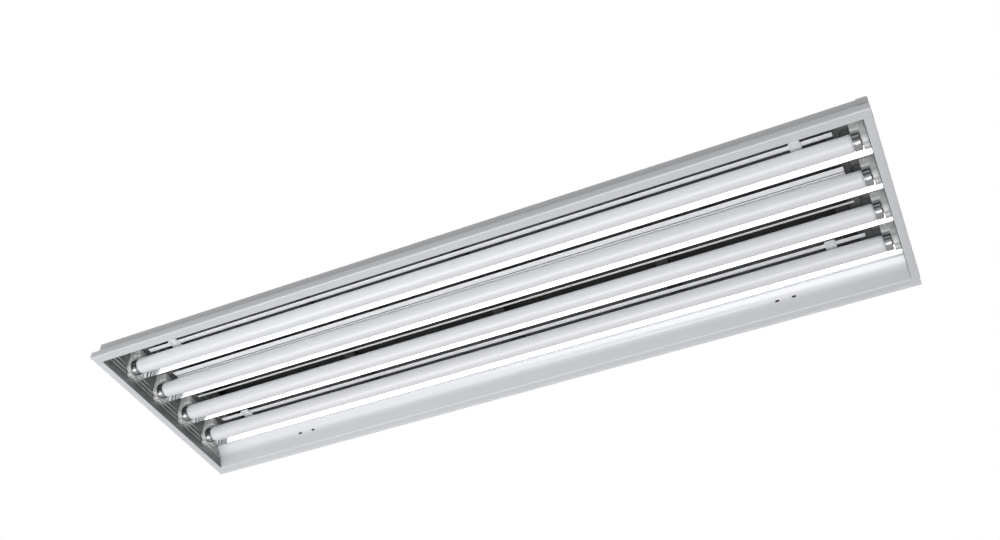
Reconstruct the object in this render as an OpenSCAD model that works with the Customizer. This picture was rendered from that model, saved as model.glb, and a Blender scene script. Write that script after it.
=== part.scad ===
// Linear high bay light with four tubular lamps in a folded steel housing.
// X runs along the lamps, Z points up, and the bottom of the rim lies at Z = 0.

/* [Lamps] */
// Lamp length between the faces of its two end caps
lamp_l = 1199.4; // [900:0.1:1500]
// Outer diameter of the glass tube
lamp_d = 26; // [24:0.5:27]
// Wall of the glass tube
glass_t = 0.8; // [0.6:0.1:1.2]
// Distance between neighbouring lamp axes
lamp_pitch = 70; // [64:1:90]
// Height of the lamp axes above the bottom of the rim
lamp_z = 30; // [28:0.5:36]
// Length of the metal cap on each lamp end
cap_l = 11.5; // [9:0.5:14]
// Outer diameter of the metal cap
cap_d = 25.6; // [23:0.1:25.8]
// Diameter of a contact pin
pin_d = 2.4; // [2:0.1:2.6]
// Distance between the two contact pins
pin_gap = 12.7; // [11:0.1:13]
// Length of a contact pin outside the cap
pin_l = 7; // [5:0.5:8]
// How far the lamp face stays off its lampholder
lamp_play = 0.5; // [0.3:0.1:1]

/* [Lampholders] */
// Thickness of a lampholder along the lamp
holder_t = 9; // [8.6:0.1:12]
// Width of a lampholder above the lamp axis
holder_w = 19; // [17:0.5:24]
// Width of the narrow tip under the lamp
holder_tip_w = 10; // [8:0.5:14]
// How far the tip reaches below the lamp axis
holder_drop = 16; // [14:0.5:20]
// Length of the mounting foot along the lamp
foot_l = 20.7; // [14:0.1:26]
// Diameter of the turning rotor that grips the pins
rotor_d = 16; // [15.6:0.1:16.4]
// Radial running clearance of the rotor in its seat
rotor_play = 0.05; // [0.02:0.01:0.1]

/* [Reflectors] */
// Thickness of the specular reflector sheet
mirror_t = 0.6; // [0.4:0.1:0.9]
// Height of the ridge crests above the lamp axes
crest_rise = 5.6; // [3:0.1:8]
// Half width of the opening between two ridges, over a lamp
mouth_half = 23; // [20:0.5:26]
// Gap between the glass and the level of the lamp strips
strip_lift = 3.5; // [3:0.1:8]
// Width of the gap above an outer lamp, between its two strips
outer_strip_gap = 15.2; // [13:0.1:18]
// Distance from an outer lamp's axis to the outer edge of its strips
outer_strip_reach = 16; // [12:0.5:18]
// Distance from the axis of lamp 2 to the slit between its two strips
slit_y = 7.4; // [5:0.1:9]
// Width of the slit between the two strips above lamp 2
slit_w = 1.8; // [1:0.1:3]
// Distance from the axis of lamp 2 to the outer edge of its strips
wide_strip_reach = 18.3; // [14:0.1:19.5]
// Width of the gap above lamp 3, between its two strips
wide_strip_gap = 26.4; // [20:0.1:28]
// Distance from the axis of lamp 3 to the outer edge of its strips
narrow_strip_reach = 17.5; // [16:0.1:19.5]
// Height of the upstand along strips and ridges
upstand_h = 4.5; // [3:0.5:8]
// Bare length at each end where the strips stop short of the lampholders
strip_stop = 33.7; // [26:0.1:60]
// Distance from the outer lamp axis to the outer crest
outer_crest_run = 37; // [36:0.5:44]
// Width of a tray bar along the lamps
bar_w = 20; // [14:1:30]
// Height of a tray bar
bar_h = 7.5; // [5:0.5:12]
// Number of tray bars
bar_count = 5; // [3:2:7]
// Room above the tray bars for the wiring
wire_room = 2.6; // [2.5:0.1:6]

/* [Turn buttons] */
// Distance of the turn buttons from the lamp ends
button_stop = 84.7; // [75:0.1:120]
// Length of a turn button across the lamp
button_l = 42; // [36:1:44]
// Width of a turn button along the lamp
button_w = 16.5; // [10:0.5:16.5]
// Thickness of a turn button
button_t = 1.6; // [1:0.1:1.8]
// Diameter of the stud that a turn button swings on
stud_d = 5; // [4:0.5:6]
// Radial running clearance of the button on its stud
stud_play = 0.05; // [0.02:0.01:0.1]

/* [Housing] */
// Thickness of the folded steel sheet
sheet_t = 0.9; // [0.7:0.1:1.1]
// Width of the long rim flange from the lip to the lamp bay
rim_w = 17; // [17:0.25:24]
// Width of the rim flange across each end
end_rim_w = 13; // [12:0.5:20]
// Width of the raised bead along the outer edge of the rim
bead_w = 5; // [3:0.5:6]
// Depth of the bead below the flange
bead_drop = 1.4; // [1:0.1:2]
// Height of the upturned outer lip
lip_h = 11.5; // [8:0.5:16]
// Distance from the lip back to the side wall
wall_inset = 14.25; // [13:0.25:14.5]
// Height of the side wall
shoulder_h = 40; // [38:1:46]
// Width of the sloped shoulder between wall and roof
shoulder_run = 28.5; // [20:0.5:32]
// Distance from the bay edge to the outer crest
skirt_run = 23.75; // [20:0.25:28]
// Setback of the skirt's knee from the bay edge
knee_run = 10.75; // [8:0.25:13]
// Height of the skirt's knee
knee_h = 24; // [20:0.5:28]
// Height of the upstand inside each end rim
end_upstand_h = 14; // [10:0.5:15]
// Length of the flanges folded in from an end plate
end_flange_l = 10; // [8:0.5:11]

/* [Ballast channel] */
// Outer width of the ballast channel
channel_w = 126; // [110:1:150]
// Height of the ballast channel above the roof
channel_h = 32; // [32:1:60]
// How far the channel stops short of each end of the light
channel_stop = 42.5; // [30:0.5:80]
// Width of the foot flange along the channel
channel_foot = 12; // [8:1:20]
// Length of a ballast
ballast_l = 241; // [200:1:300]
// Width of a ballast
ballast_w = 43; // [30:1:60]
// Height of a ballast
ballast_h = 28; // [20:1:28]
// Distance of each ballast from the middle of the light
ballast_x = 230; // [220:1:260]

/* [Hanging and supply] */
// Distance between the hanger holes along the light
hanger_x = 914.4; // [600:0.1:1000]
// Distance between the hanger holes across the light
hanger_y = 76.2; // [60:0.1:90]
// Diameter of a hanger hole
hanger_d = 7.1; // [5:0.1:9]
// Diameter of the supply knockout
knockout_d = 22.2; // [20:0.1:29]
// Bore of the supply bushing
bushing_bore = 14; // [10:0.5:16]

/* [Hidden] */
lamp_count = 4;
lamp_ids = [1 : lamp_count];
ridge_ids = [1 : lamp_count - 1];
ends = ["left", "right"];

$fn = 48;
// One overrun serves every cut
cut = 1;
// Gap between pieces that only sit close together
near_gap = 0.3;
// Gap between sheets that are slid into each other
sheet_gap = 0.1;

// Places along the lamps
lamp_half = lamp_l / 2;
holder_face_x = lamp_half + lamp_play;
bay_end_x = holder_face_x + holder_t;
end_bay_x = bay_end_x + near_gap;
body_half_l = end_bay_x + end_rim_w;
plate_x = body_half_l - sheet_t;
shell_half_l = plate_x - sheet_gap;
strip_half_l = lamp_half - strip_stop;
ridge_half_l = bay_end_x - near_gap;
button_x = lamp_half - button_stop;
channel_half_l = body_half_l - channel_stop;

// Places across the lamps
lamp_r = lamp_d / 2;
outer_lamp_y = lamp_pitch * (lamp_count - 1) / 2;
crest_y = outer_lamp_y + outer_crest_run;
bay_y = crest_y + skirt_run;
knee_y = bay_y - knee_run;
lip_y = bay_y + rim_w;
wall_y = lip_y - wall_inset;
roof_y = wall_y - shoulder_run;
wing_y = outer_lamp_y + mouth_half;
ridge_half = lamp_pitch / 2 - mouth_half;
crest_lap = 6;

// Heights
crest_z = lamp_z + crest_rise;
strip_z = lamp_z + lamp_r + strip_lift;
bar_z = strip_z + upstand_h;
ceiling_z = bar_z + bar_h + wire_room;
roof_z = ceiling_z + sheet_t;
channel_z = roof_z + channel_h;
channel_ceiling_z = channel_z - sheet_t;
holder_top_z = ceiling_z - sheet_t;
rail_lip_z = bead_drop + end_upstand_h + near_gap * 3;
button_z = strip_z - near_gap - button_t;

// Y of a lamp axis, counted from the near side
function lamp_y(i) = -outer_lamp_y + (i - 1) * lamp_pitch;

// Unit normal on the left of the way from a to b
function left_of(a, b) = let (d = (b - a) / norm(b - a)) [-d[1], d[0]];

// Point i of path p moved sideways by t, with a mitre at a bend
function moved(p, i, t) =
    let (last = len(p) - 1)
    let (before = left_of(p[max(i - 1, 0)], p[max(i, 1)]))
    let (after = left_of(p[min(i, last - 1)], p[min(i + 1, last)]))
    p[i] + (before + after) * t / (1 + before * after);

// Outline of a folded sheet: path p is one face, the other lies t to its left
function sheet(p, t) =
    concat(p, [for (i = [len(p) - 1 : -1 : 0]) moved(p, i, t)]);

// Extrudes an outline in Y and Z along X, centred
module along_x(half_l) {
    rotate([90, 0, 90])
        translate([0, 0, -half_l])
            linear_extrude(half_l * 2)
                children();
}

// Extrudes an outline in X and Z along Y, centred
module along_y(half_l) {
    rotate([90, 0, 0])
        translate([0, 0, -half_l])
            linear_extrude(half_l * 2)
                children();
}

// A round bar from x1 to x2 on an axis parallel to X
module bar_x(x1, x2, r) {
    translate([x1, 0, 0])
        rotate([0, 90, 0])
            cylinder(h = x2 - x1, r = r);
}

// A box between two corners
module box(low, high) {
    translate(low)
        cube(high - low);
}

// Turns a piece of the right end into the same piece of the left end
module at_end(side) {
    rotate([0, 0, side == "left" ? 180 : 0])
        children();
}

// Housing

ballast_hole_y = channel_w / 2 - channel_foot;
ballast_hole_half_l = channel_half_l - channel_foot * 2;
wall_foot_w = 9;
screw_d = 4;
screw_hole_d = 4.5;
screw_head_d = 9;
screw_head_h = 2.4;
screw_l = 6;
end_screw_x = plate_x - end_flange_l / 2;
rail_screw_x = bay_end_x - foot_l / 2;
screw_y = roof_y - screw_head_d * 2;
screw_places = [
    for (sx = [-1, 1], x = [end_screw_x, rail_screw_x], sy = [-1, 0, 1])
        [sx * x, sy * screw_y]];
pan_foot_z = bead_drop + sheet_t;

// Outline of the pan over one side, from a low level to the roof edge, moved in by a gap
function pan_side(gap, low) = [
    [wall_y - gap, low],
    [wall_y - gap, shoulder_h - gap / 2],
    [roof_y - gap / 2, roof_z - gap]];

function flipped(p) = [for (i = [len(p) - 1 : -1 : 0]) [-p[i][0], p[i][1]]];

module top_pan() {
    foot_top_z = pan_foot_z + sheet_t;
    side = concat([[wall_y + wall_foot_w, foot_top_z]], pan_side(0, foot_top_z));
    color("gainsboro")
        difference() {
            along_x(shell_half_l)
                polygon(sheet(concat(side, flipped(side)), sheet_t));
            box([-ballast_hole_half_l, -ballast_hole_y, ceiling_z - cut],
                [ballast_hole_half_l, ballast_hole_y, roof_z + cut]);
            for (p = screw_places)
                translate([p[0], p[1], ceiling_z - cut])
                    cylinder(h = sheet_t + cut * 2, d = screw_hole_d);
        }
}

// Slots in the skirt, in pairs, counted from its end
skirt_slot_stop = 181.5;
skirt_slot_pitch = 26;
skirt_slot_places = [for (k = [0, 1]) shell_half_l - skirt_slot_stop - k * skirt_slot_pitch];
skirt_slot_w = 6;
skirt_slot_h = 3;
skirt_slot_drop = 2;

module side_rail() {
    path = [
        [lip_y, lip_h],
        [lip_y, 0],
        [lip_y - bead_w, 0],
        [lip_y - bead_w, bead_drop],
        [bay_y, bead_drop],
        [knee_y, knee_h],
        [crest_y, crest_z],
        [crest_y + crest_lap, crest_z]];
    color("gainsboro")
        difference() {
            along_x(shell_half_l)
                polygon(sheet(path, -sheet_t));
            for (side = [-1, 1], x = skirt_slot_places)
                translate([side * x, knee_y, knee_h - skirt_slot_drop])
                    cube([skirt_slot_w, sheet_t * 6, skirt_slot_h], center = true);
        }
}

// Wrap tab of an end plate, over the shoulder of the pan
tab_l = 11;
tab_drop = 12;
tab_run = 10;

module wrap_tab() {
    wall_top = [-wall_y, shoulder_h];
    slope = [shoulder_run, roof_z - shoulder_h] / norm([shoulder_run, roof_z - shoulder_h]);
    path = [
        wall_top - [sheet_gap, tab_drop],
        wall_top - [sheet_gap, 0],
        wall_top + slope * tab_run + [-sheet_gap, sheet_gap]];
    translate([body_half_l - tab_l / 2 - sheet_t * 4, 0, 0])
        along_x(tab_l / 2)
            polygon(sheet(path, sheet_t));
    translate([body_half_l - sheet_t / 2, 0, 0])
        along_x(sheet_t / 2)
            polygon(sheet([path[0] + [sheet_t * 2, 0], path[1] + [sheet_t * 2, 0]], sheet_t * 3));
    translate([body_half_l - tab_l / 2, 0, 0])
        along_x(tab_l / 2)
            polygon(sheet([path[0], path[1]], sheet_t));
}

module end_plate() {
    seam = bay_y - near_gap;
    skirt_in = end_upstand_h * knee_run / (knee_h - bead_drop);
    outer_side = concat([[seam, bead_drop], [seam, pan_foot_z]], pan_side(0, pan_foot_z));
    inner_side = pan_side(sheet_t + sheet_gap, pan_foot_z + sheet_t);
    color("gainsboro") {
        // The plate
        translate([body_half_l - sheet_t / 2, 0, 0])
            along_x(sheet_t / 2)
                polygon(concat(outer_side, flipped(outer_side)));
        // Flanges that slide inside the pan
        difference() {
            translate([plate_x - end_flange_l / 2, 0, 0])
                along_x(end_flange_l / 2)
                    polygon(sheet(concat(inner_side, flipped(inner_side)), sheet_t));
            for (y = [-screw_y, 0, screw_y])
                translate([end_screw_x, y, ceiling_z - sheet_t - cut])
                    cylinder(h = sheet_t + cut * 2, d = screw_d + sheet_gap);
        }
        // The rim flange
        box([end_bay_x, -seam, bead_drop], [body_half_l, seam, pan_foot_z]);
        // The upstand inside the rim
        translate([end_bay_x + sheet_t / 2, 0, 0])
            along_x(sheet_t / 2)
                polygon([
                    [-seam, bead_drop],
                    [seam, bead_drop],
                    [seam - skirt_in - near_gap, bead_drop + end_upstand_h],
                    [-seam + skirt_in + near_gap, bead_drop + end_upstand_h]]);
        wrap_tab();
    }
}

module pan_screws() {
    color("silver")
        for (p = screw_places)
            translate([p[0], p[1], roof_z]) {
                cylinder(h = screw_head_h, d = screw_head_d, $fn = 6);
                translate([0, 0, -screw_l])
                    cylinder(h = screw_l, d = screw_d);
            }
}

// Ballast channel and what it holds

inlet_z = channel_ceiling_z - channel_h / 2;
ballast_tab_l = 14;
ballast_tab_t = 1.2;
stud_small_d = 4;
stud_small_l = 8;
nut_d = 8;
nut_h = 3.2;
ballast_stud_x = ballast_l / 2 - ballast_tab_l / 2;
ballast_places = [for (side = [-1, 1], e = [-1, 1]) side * ballast_x + e * ballast_stud_x];

module ballast_channel() {
    half_w = channel_w / 2;
    path = [
        [-half_w - channel_foot, roof_z],
        [-half_w + sheet_t, roof_z],
        [-half_w + sheet_t, channel_ceiling_z],
        [half_w - sheet_t, channel_ceiling_z],
        [half_w - sheet_t, roof_z],
        [half_w + channel_foot, roof_z]];
    color("gainsboro")
        difference() {
            union() {
                along_x(channel_half_l)
                    polygon(sheet(path, sheet_t));
                for (side = [-1, 1])
                    translate([side * (channel_half_l - sheet_t / 2), 0, 0])
                        along_x(sheet_t / 2)
                            polygon([
                                [-half_w, roof_z],
                                [half_w, roof_z],
                                [half_w, channel_z],
                                [-half_w, channel_z]]);
            }
            for (sx = [-1, 1], sy = [-1, 1])
                translate([sx * hanger_x / 2, sy * hanger_y / 2, channel_ceiling_z - cut])
                    cylinder(h = sheet_t + cut * 2, d = hanger_d);
            translate([-channel_half_l - cut, 0, inlet_z])
                bar_x(0, sheet_t + cut * 2, knockout_d / 2);
        }
}

// A ballast case with a fixing tab at each end
module ballast(side) {
    case_half_l = ballast_l / 2 - ballast_tab_l;
    color("whitesmoke")
        translate([side * ballast_x, 0, channel_ceiling_z])
            difference() {
                union() {
                    box([-case_half_l, -ballast_w / 2, -ballast_h],
                        [case_half_l, ballast_w / 2, 0]);
                    box([-ballast_l / 2, -ballast_w / 2, -ballast_tab_t],
                        [ballast_l / 2, ballast_w / 2, 0]);
                }
                for (e = [-1, 1])
                    translate([e * ballast_stud_x, 0, -ballast_tab_t - cut])
                        cylinder(h = ballast_tab_t + cut * 2, d = screw_hole_d);
            }
}

module ballast_studs() {
    color("silver")
        for (x = ballast_places)
            translate([x, 0, channel_ceiling_z]) {
                translate([0, 0, -stud_small_l])
                    cylinder(h = stud_small_l, d = stud_small_d);
                translate([0, 0, -ballast_tab_t - nut_h])
                    cylinder(h = nut_h, d = nut_d, $fn = 6);
            }
}

block_l = 30;
block_w = 22;
block_h = 16;
block_way_count = 3;
block_way_d = 4;
block_way_l = 8;

function way_y(i) = (i / (block_way_count + 1) - 1 / 2) * block_w;

block_x = block_l * 2 - channel_half_l;

module terminal_block() {
    color("whitesmoke")
        translate([block_x, 0, channel_ceiling_z])
            difference() {
                box([-block_l / 2, -block_w / 2, -block_h], [block_l / 2, block_w / 2, 0]);
                for (i = [1 : block_way_count])
                    translate([-block_l / 2, 0, -block_h / 2])
                        translate([0, way_y(i), 0])
                            bar_x(-cut, block_way_l, block_way_d / 2);
            }
}

bushing_wall = 2.6;
bushing_flange_d = 28;
bushing_flange_t = 2;
bushing_l = 9;

module supply_bushing() {
    neck_d = knockout_d - sheet_gap * 2;
    color("dimgray")
        translate([-channel_half_l, 0, inlet_z])
            difference() {
                union() {
                    bar_x(-bushing_flange_t, 0, bushing_flange_d / 2);
                    bar_x(-bushing_flange_t, bushing_l - bushing_flange_t, neck_d / 2);
                }
                bar_x(-bushing_l, bushing_l, bushing_bore / 2);
            }
}

ground_x = block_x + block_l;

module ground_screw() {
    color("mediumseagreen")
        translate([ground_x, -ballast_w / 2, channel_ceiling_z]) {
            translate([0, 0, -stud_small_l])
                cylinder(h = stud_small_l, d = stud_small_d);
            translate([0, 0, -nut_h])
                cylinder(h = nut_h, d = nut_d, $fn = 6);
        }
}

// Wiring from a ballast to the four lampholders of one end

wire_d = 1.8;
wire_sides = 8;
lead_gap = 2.4;
wire_z = ceiling_z - wire_room / 2;
wire_start_z = channel_ceiling_z - ballast_h / 2;
wire_bend_x = ballast_x + ballast_l / 2 + ballast_tab_l;
wire_low_x = channel_half_l - channel_foot * 4;
wire_cross_x = bay_end_x - foot_l - bar_w / 2;

// Direction of the way that leaves point i of a route, or the last one's
function way(p, i) =
    let (k = min(i, len(p) - 2))
    (p[k + 1] - p[k]) / norm(p[k + 1] - p[k]);

// Ring of a lead at point i: the ring before it, pushed along to the mitre plane there
function next_ring(p, ring, i) =
    let (along = way(p, i - 1), facing = along + way(p, i))
    [for (v = ring) v + along * ((p[i] - v) * facing) / (along * facing)];

function rings(p, ring, i = 1) =
    i == len(p) ? [ring] : concat([ring], rings(p, next_ring(p, ring, i), i + 1));

// A lead that starts along X and bends through a list of points
module lead(points) {
    first = [
        for (k = [0 : wire_sides - 1])
            let (a = 360 * k / wire_sides)
            points[0] + [0, cos(a), sin(a)] * wire_d / 2];
    all_rings = rings(points, first);
    last = (len(points) - 1) * wire_sides;
    sides = [
        for (i = [0 : len(points) - 2], k = [0 : wire_sides - 1])
            let (a = i * wire_sides + k)
            let (b = i * wire_sides + (k + 1) % wire_sides)
            each [[a, a + wire_sides, b], [b, a + wire_sides, b + wire_sides]]];
    start_cap = [for (k = [1 : wire_sides - 2]) [0, k, k + 1]];
    end_cap = [for (k = [1 : wire_sides - 2]) [last, last + k + 1, last + k]];
    polyhedron([for (r = all_rings) each r], concat(sides, start_cap, end_cap));
}

module wiring() {
    color("black")
        for (i = lamp_ids) {
            y = lamp_y(i);
            start_y = y / lamp_pitch * lead_gap;
            cross_x = wire_cross_x - abs(y) / lamp_pitch * lead_gap;
            lead([
                [ballast_x + ballast_l / 2 - ballast_tab_l, start_y, wire_start_z],
                [wire_bend_x, start_y, wire_start_z],
                [wire_low_x, start_y, wire_z],
                [cross_x, start_y, wire_z],
                [cross_x, y, wire_z],
                [bay_end_x - foot_l, y, holder_top_z - wire_d]]);
        }
}

// Supply leads from the terminal block to the two ballasts, under their studs
supply_side_y = ballast_w / 2 + wire_d * 2;
supply_near_y = ballast_w / 4;

module supply_wiring() {
    from_x = block_x + block_l / 2;
    z = channel_ceiling_z - block_h / 2;
    near_x = -ballast_x - ballast_l / 2 + ballast_tab_l;
    far_x = ballast_x - ballast_l / 2 + ballast_tab_l;
    turn_x = near_x - ballast_tab_l * 2;
    back_x = far_x - ballast_tab_l;
    color("black") {
        for (k = [1, 2])
            lead([
                [from_x, k * lead_gap, z],
                [turn_x - ballast_tab_l, k * lead_gap, z],
                [turn_x, k * lead_gap + supply_near_y, wire_start_z],
                [near_x, k * lead_gap + supply_near_y, wire_start_z]]);
        for (k = [-1, 0]) {
            y = k * lead_gap;
            lead([
                [from_x, y, z],
                [turn_x + y, y, z],
                [turn_x + y + supply_side_y, y - supply_side_y, z],
                [back_x - y - supply_side_y, y - supply_side_y, z],
                [back_x - y, y, wire_start_z],
                [far_x, y, wire_start_z]]);
        }
    }
}

// Holder rails and lampholders

rib_depth = 1.2;
rib_w = 5;
rib_gap = 3;
rail_gap = 0.8;

module holder_rail() {
    rib = [[0, 0], [rib_depth, rib_depth], [rib_depth, rib_w - rib_depth], [0, rib_w]];
    first_rib = rail_lip_z + sheet_t + rib_gap;
    second_rib = first_rib + rib_w + rib_gap;
    lip_x = plate_x - rail_gap;
    path = concat(
        [[lip_x, rail_lip_z], [bay_end_x, rail_lip_z]],
        [for (p = rib) [bay_end_x + p[0], first_rib + p[1]]],
        [for (p = rib) [bay_end_x + p[0], second_rib + p[1]]],
        [[bay_end_x, holder_top_z], [bay_end_x - foot_l, holder_top_z]]);
    top_y = roof_y - sheet_t - rail_gap;
    lip_half_y = bay_y - knee_run * (rail_lip_z - bead_drop) / (knee_h - bead_drop) - rail_gap;
    side = [
        [lip_half_y, rail_lip_z - cut],
        [lip_half_y, rail_lip_z],
        [knee_y - rail_gap, knee_h],
        [crest_y - rail_gap, crest_z - rail_gap],
        [top_y - rail_gap, crest_z],
        [top_y, ceiling_z + cut]];
    color("gainsboro")
        difference() {
            intersection() {
                along_y(lip_y)
                    polygon(sheet(path, -sheet_t));
                along_x(body_half_l)
                    polygon(concat(side, flipped(side)));
            }
            for (y = [-screw_y, 0, screw_y])
                translate([rail_screw_x, y, holder_top_z - cut])
                    cylinder(h = sheet_t + cut * 2, d = screw_d + sheet_gap);
        }
}

holder_neck_h = 5;
foot_w_play = 0.5;
rotor_back = 0.7;
pin_seat_play = 0.2;

module lampholder(i) {
    seat_d = rotor_d + rotor_play * 2;
    seat_l = lamp_play + pin_l + rotor_back + sheet_gap;
    entry_w = pin_d + pin_seat_play * 4;
    shell_d = seat_d + holder_t / 2;
    color("white")
        translate([0, lamp_y(i), 0])
            difference() {
                union() {
                    // Body around the rotor
                    translate([holder_face_x, 0, lamp_z])
                        rotate([0, 90, 0])
                            cylinder(h = holder_t, d = shell_d);
                    box([holder_face_x, -holder_w / 2, lamp_z],
                        [bay_end_x, holder_w / 2, holder_top_z]);
                    // Narrow tip
                    box([holder_face_x, -holder_tip_w / 2, lamp_z - holder_drop],
                        [bay_end_x, holder_tip_w / 2, lamp_z]);
                    // Mounting foot
                    box([bay_end_x - foot_l, -holder_w / 2 + foot_w_play, strip_z],
                        [bay_end_x, holder_w / 2 - foot_w_play, holder_top_z]);
                }
                // Seat of the rotor
                translate([holder_face_x - cut, 0, lamp_z])
                    rotate([0, 90, 0])
                        cylinder(h = seat_l + cut, d = seat_d);
                // Entry slot for the pins
                box([holder_face_x - cut, -entry_w / 2, lamp_z - holder_drop - cut],
                    [holder_face_x + seat_l, entry_w / 2, lamp_z]);
            }
}

module rotors(i) {
    slot_w = pin_d + pin_seat_play * 2;
    face = lamp_half + lamp_play + sheet_gap;
    back = lamp_half + pin_l + rotor_back;
    color("white")
        for (turn = [0, 180])
            translate([0, lamp_y(i), lamp_z])
                rotate([0, 0, turn])
                    difference() {
                        bar_x(face, back, rotor_d / 2);
                        box([face - cut, -rotor_d, -slot_w / 2],
                            [lamp_half + pin_l + pin_seat_play, rotor_d, slot_w / 2]);
                    }
}

// Lamps

neck_l = 2.5;
cap_t = 0.5;
cap_face_t = 1.2;
glass_in_cap = 6;
cap_glass_gap = 0.2;

module lamp_tube(i) {
    neck_r = cap_d / 2 - cap_t - cap_glass_gap;
    cap_x = lamp_half - cap_l;
    end_x = cap_x + glass_in_cap;
    half = [
        [lamp_r, cap_x - neck_l - near_gap],
        [neck_r, cap_x - near_gap],
        [neck_r, end_x]];
    inner = [
        [neck_r - glass_t, end_x],
        [neck_r - glass_t, cap_x - near_gap],
        [lamp_r - glass_t, cap_x - neck_l - near_gap]];
    function mirrored(p) = [for (k = [len(p) - 1 : -1 : 0]) [p[k][0], -p[k][1]]];
    color("white")
        translate([0, lamp_y(i), lamp_z])
            rotate([0, 90, 0])
                rotate_extrude($fn = 64)
                    polygon(concat(half, inner, mirrored(inner), mirrored(half)));
}

module lamp_caps(i) {
    cap_x = lamp_half - cap_l;
    color("silver")
        for (turn = [0, 180])
            translate([0, lamp_y(i), lamp_z])
                rotate([0, 0, turn])
                    difference() {
                        bar_x(cap_x, lamp_half, cap_d / 2);
                        bar_x(cap_x - cut, lamp_half - cap_face_t, cap_d / 2 - cap_t);
                    }
}

module lamp_pins(i) {
    color("goldenrod")
        for (turn = [0, 180], side = [-1, 1])
            translate([0, lamp_y(i), lamp_z])
                rotate([0, 0, turn])
                    translate([0, side * pin_gap / 2, 0])
                        bar_x(lamp_half, lamp_half + pin_l, pin_d / 2);
}

// Reflector tray

// A ridge between two lamps, open at the top
module ridge_reflector(i) {
    path = [
        [-ridge_half, bar_z],
        [-ridge_half, strip_z],
        [0, crest_z],
        [ridge_half, strip_z],
        [ridge_half, bar_z]];
    color("lightgray")
        translate([0, lamp_y(i) + lamp_pitch / 2, 0])
            along_x(ridge_half_l)
                polygon(sheet(path, mirror_t));
}

module outer_reflector() {
    path = [
        [wing_y, bar_z],
        [wing_y, strip_z],
        [crest_y, crest_z],
        [crest_y + crest_lap, crest_z]];
    color("lightgray")
        along_x(ridge_half_l)
            polygon(sheet(path, mirror_t));
}

// Inner and outer edge of the near and the far strip above each lamp
function strip_edges(i) =
    i == 2 ? [[-slit_y - slit_w / 2, -wide_strip_reach], [-slit_y + slit_w / 2, wide_strip_reach]] :
    i == 3 ? mirrored_edges(wide_strip_gap / 2, narrow_strip_reach) :
    mirrored_edges(outer_strip_gap / 2, outer_strip_reach);

function mirrored_edges(inner, outer) = [[-inner, -outer], [inner, outer]];

module lamp_strips(i) {
    color("lightgray")
        translate([0, lamp_y(i), 0])
            for (edges = strip_edges(i))
                along_x(strip_half_l)
                    polygon(sheet(
                        [[edges[0], bar_z], [edges[0], strip_z], [edges[1], strip_z]],
                        edges[1] > edges[0] ? mirror_t : -mirror_t));
}

bar_spread = strip_half_l - bar_w;
bar_places = [for (k = [0 : bar_count - 1]) bar_spread * (k * 2 / (bar_count - 1) - 1)];

module tray_bars() {
    path = [
        [-bar_w / 2, bar_z + bar_h],
        [-bar_w / 2, bar_z],
        [bar_w / 2, bar_z],
        [bar_w / 2, bar_z + bar_h]];
    color("darkgray")
        for (x = bar_places)
            translate([x, 0, 0])
                along_y(wing_y + mirror_t * 2)
                    polygon(sheet(path, sheet_t));
}

// Brackets that hold the ridges to the roof beside the outer bars
hanger_l = 16;
hanger_places = [for (k = [0 : bar_count - 2]) (bar_places[k] + bar_places[k + 1]) / 2];

module ridge_hangers() {
    half_w = ridge_half - mirror_t;
    path = [
        [-half_w, strip_z + mirror_t],
        [-half_w, ceiling_z],
        [half_w, ceiling_z],
        [half_w, strip_z + mirror_t]];
    color("darkgray")
        for (i = ridge_ids, x = hanger_places)
            translate([x, lamp_y(i) + lamp_pitch / 2, 0])
                along_x(hanger_l / 2)
                    polygon(sheet(path, -sheet_t));
}

// Turn buttons that hold the tray up

stud_head_d = 8;
stud_head_t = 0.8;
stud_nut_d = 9;
stud_nut_h = 3;
button_corner = 3;
button_lamps = [1, lamp_count];
button_spots = [for (k = button_lamps, side = [-1, 1]) [side * button_x, lamp_y(k)]];

module button_studs() {
    color("silver")
        for (p = button_spots)
            translate([p[0], p[1], 0]) {
                translate([0, 0, button_z - stud_head_t])
                    cylinder(h = ceiling_z - button_z + stud_head_t, d = stud_d);
                translate([0, 0, button_z - stud_head_t])
                    cylinder(h = stud_head_t - near_gap / 2, d = stud_head_d);
                translate([0, 0, ceiling_z - stud_nut_h])
                    cylinder(h = stud_nut_h, d = stud_nut_d, $fn = 6);
            }
}

// A bar with round corners that swings on its stud
module turn_button(i) {
    p = button_spots[i - 1];
    far_x = button_w / 2 - button_corner;
    far_y = button_l / 2 - button_corner;
    color("whitesmoke")
        translate([p[0], p[1], button_z])
            difference() {
                union() {
                    for (sx = [-1, 1], sy = [-1, 1])
                        translate([sx * far_x, sy * far_y, 0])
                            cylinder(h = button_t, r = button_corner);
                    box([-button_w / 2, -far_y, 0], [button_w / 2, far_y, button_t]);
                    box([-far_x, -button_l / 2, 0], [far_x, button_l / 2, button_t]);
                }
                translate([0, 0, -cut])
                    cylinder(h = button_t + cut * 2, d = stud_d + stud_play * 2);
            }
}

top_pan();
rotate([0, 0, 180]) side_rail();  // near_side_rail
side_rail();  // far_side_rail
for (e = ends) {
    at_end(e) end_plate();
    at_end(e) holder_rail();
    at_end(e) wiring();
    ballast(e == "left" ? -1 : 1);
}
ballast_channel();
ballast_studs();
terminal_block();
supply_bushing();
supply_wiring();
ground_screw();
pan_screws();
tray_bars();
ridge_hangers();
rotate([0, 0, 180]) outer_reflector();  // near_outer_reflector
outer_reflector();  // far_outer_reflector
button_studs();
for (i = ridge_ids)
    ridge_reflector(i);
for (i = lamp_ids) {
    lamp_strips(i);
    mirror([1, 0, 0]) lampholder(i);
    lampholder(i);
    lamp_tube(i);
    lamp_caps(i);
    lamp_pins(i);
    rotors(i);
    turn_button(i);
}
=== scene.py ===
"""Linear high bay light with four tubular lamps, seen from below."""

import math

import bmesh
import bpy
from mathutils import Matrix, Vector


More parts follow.
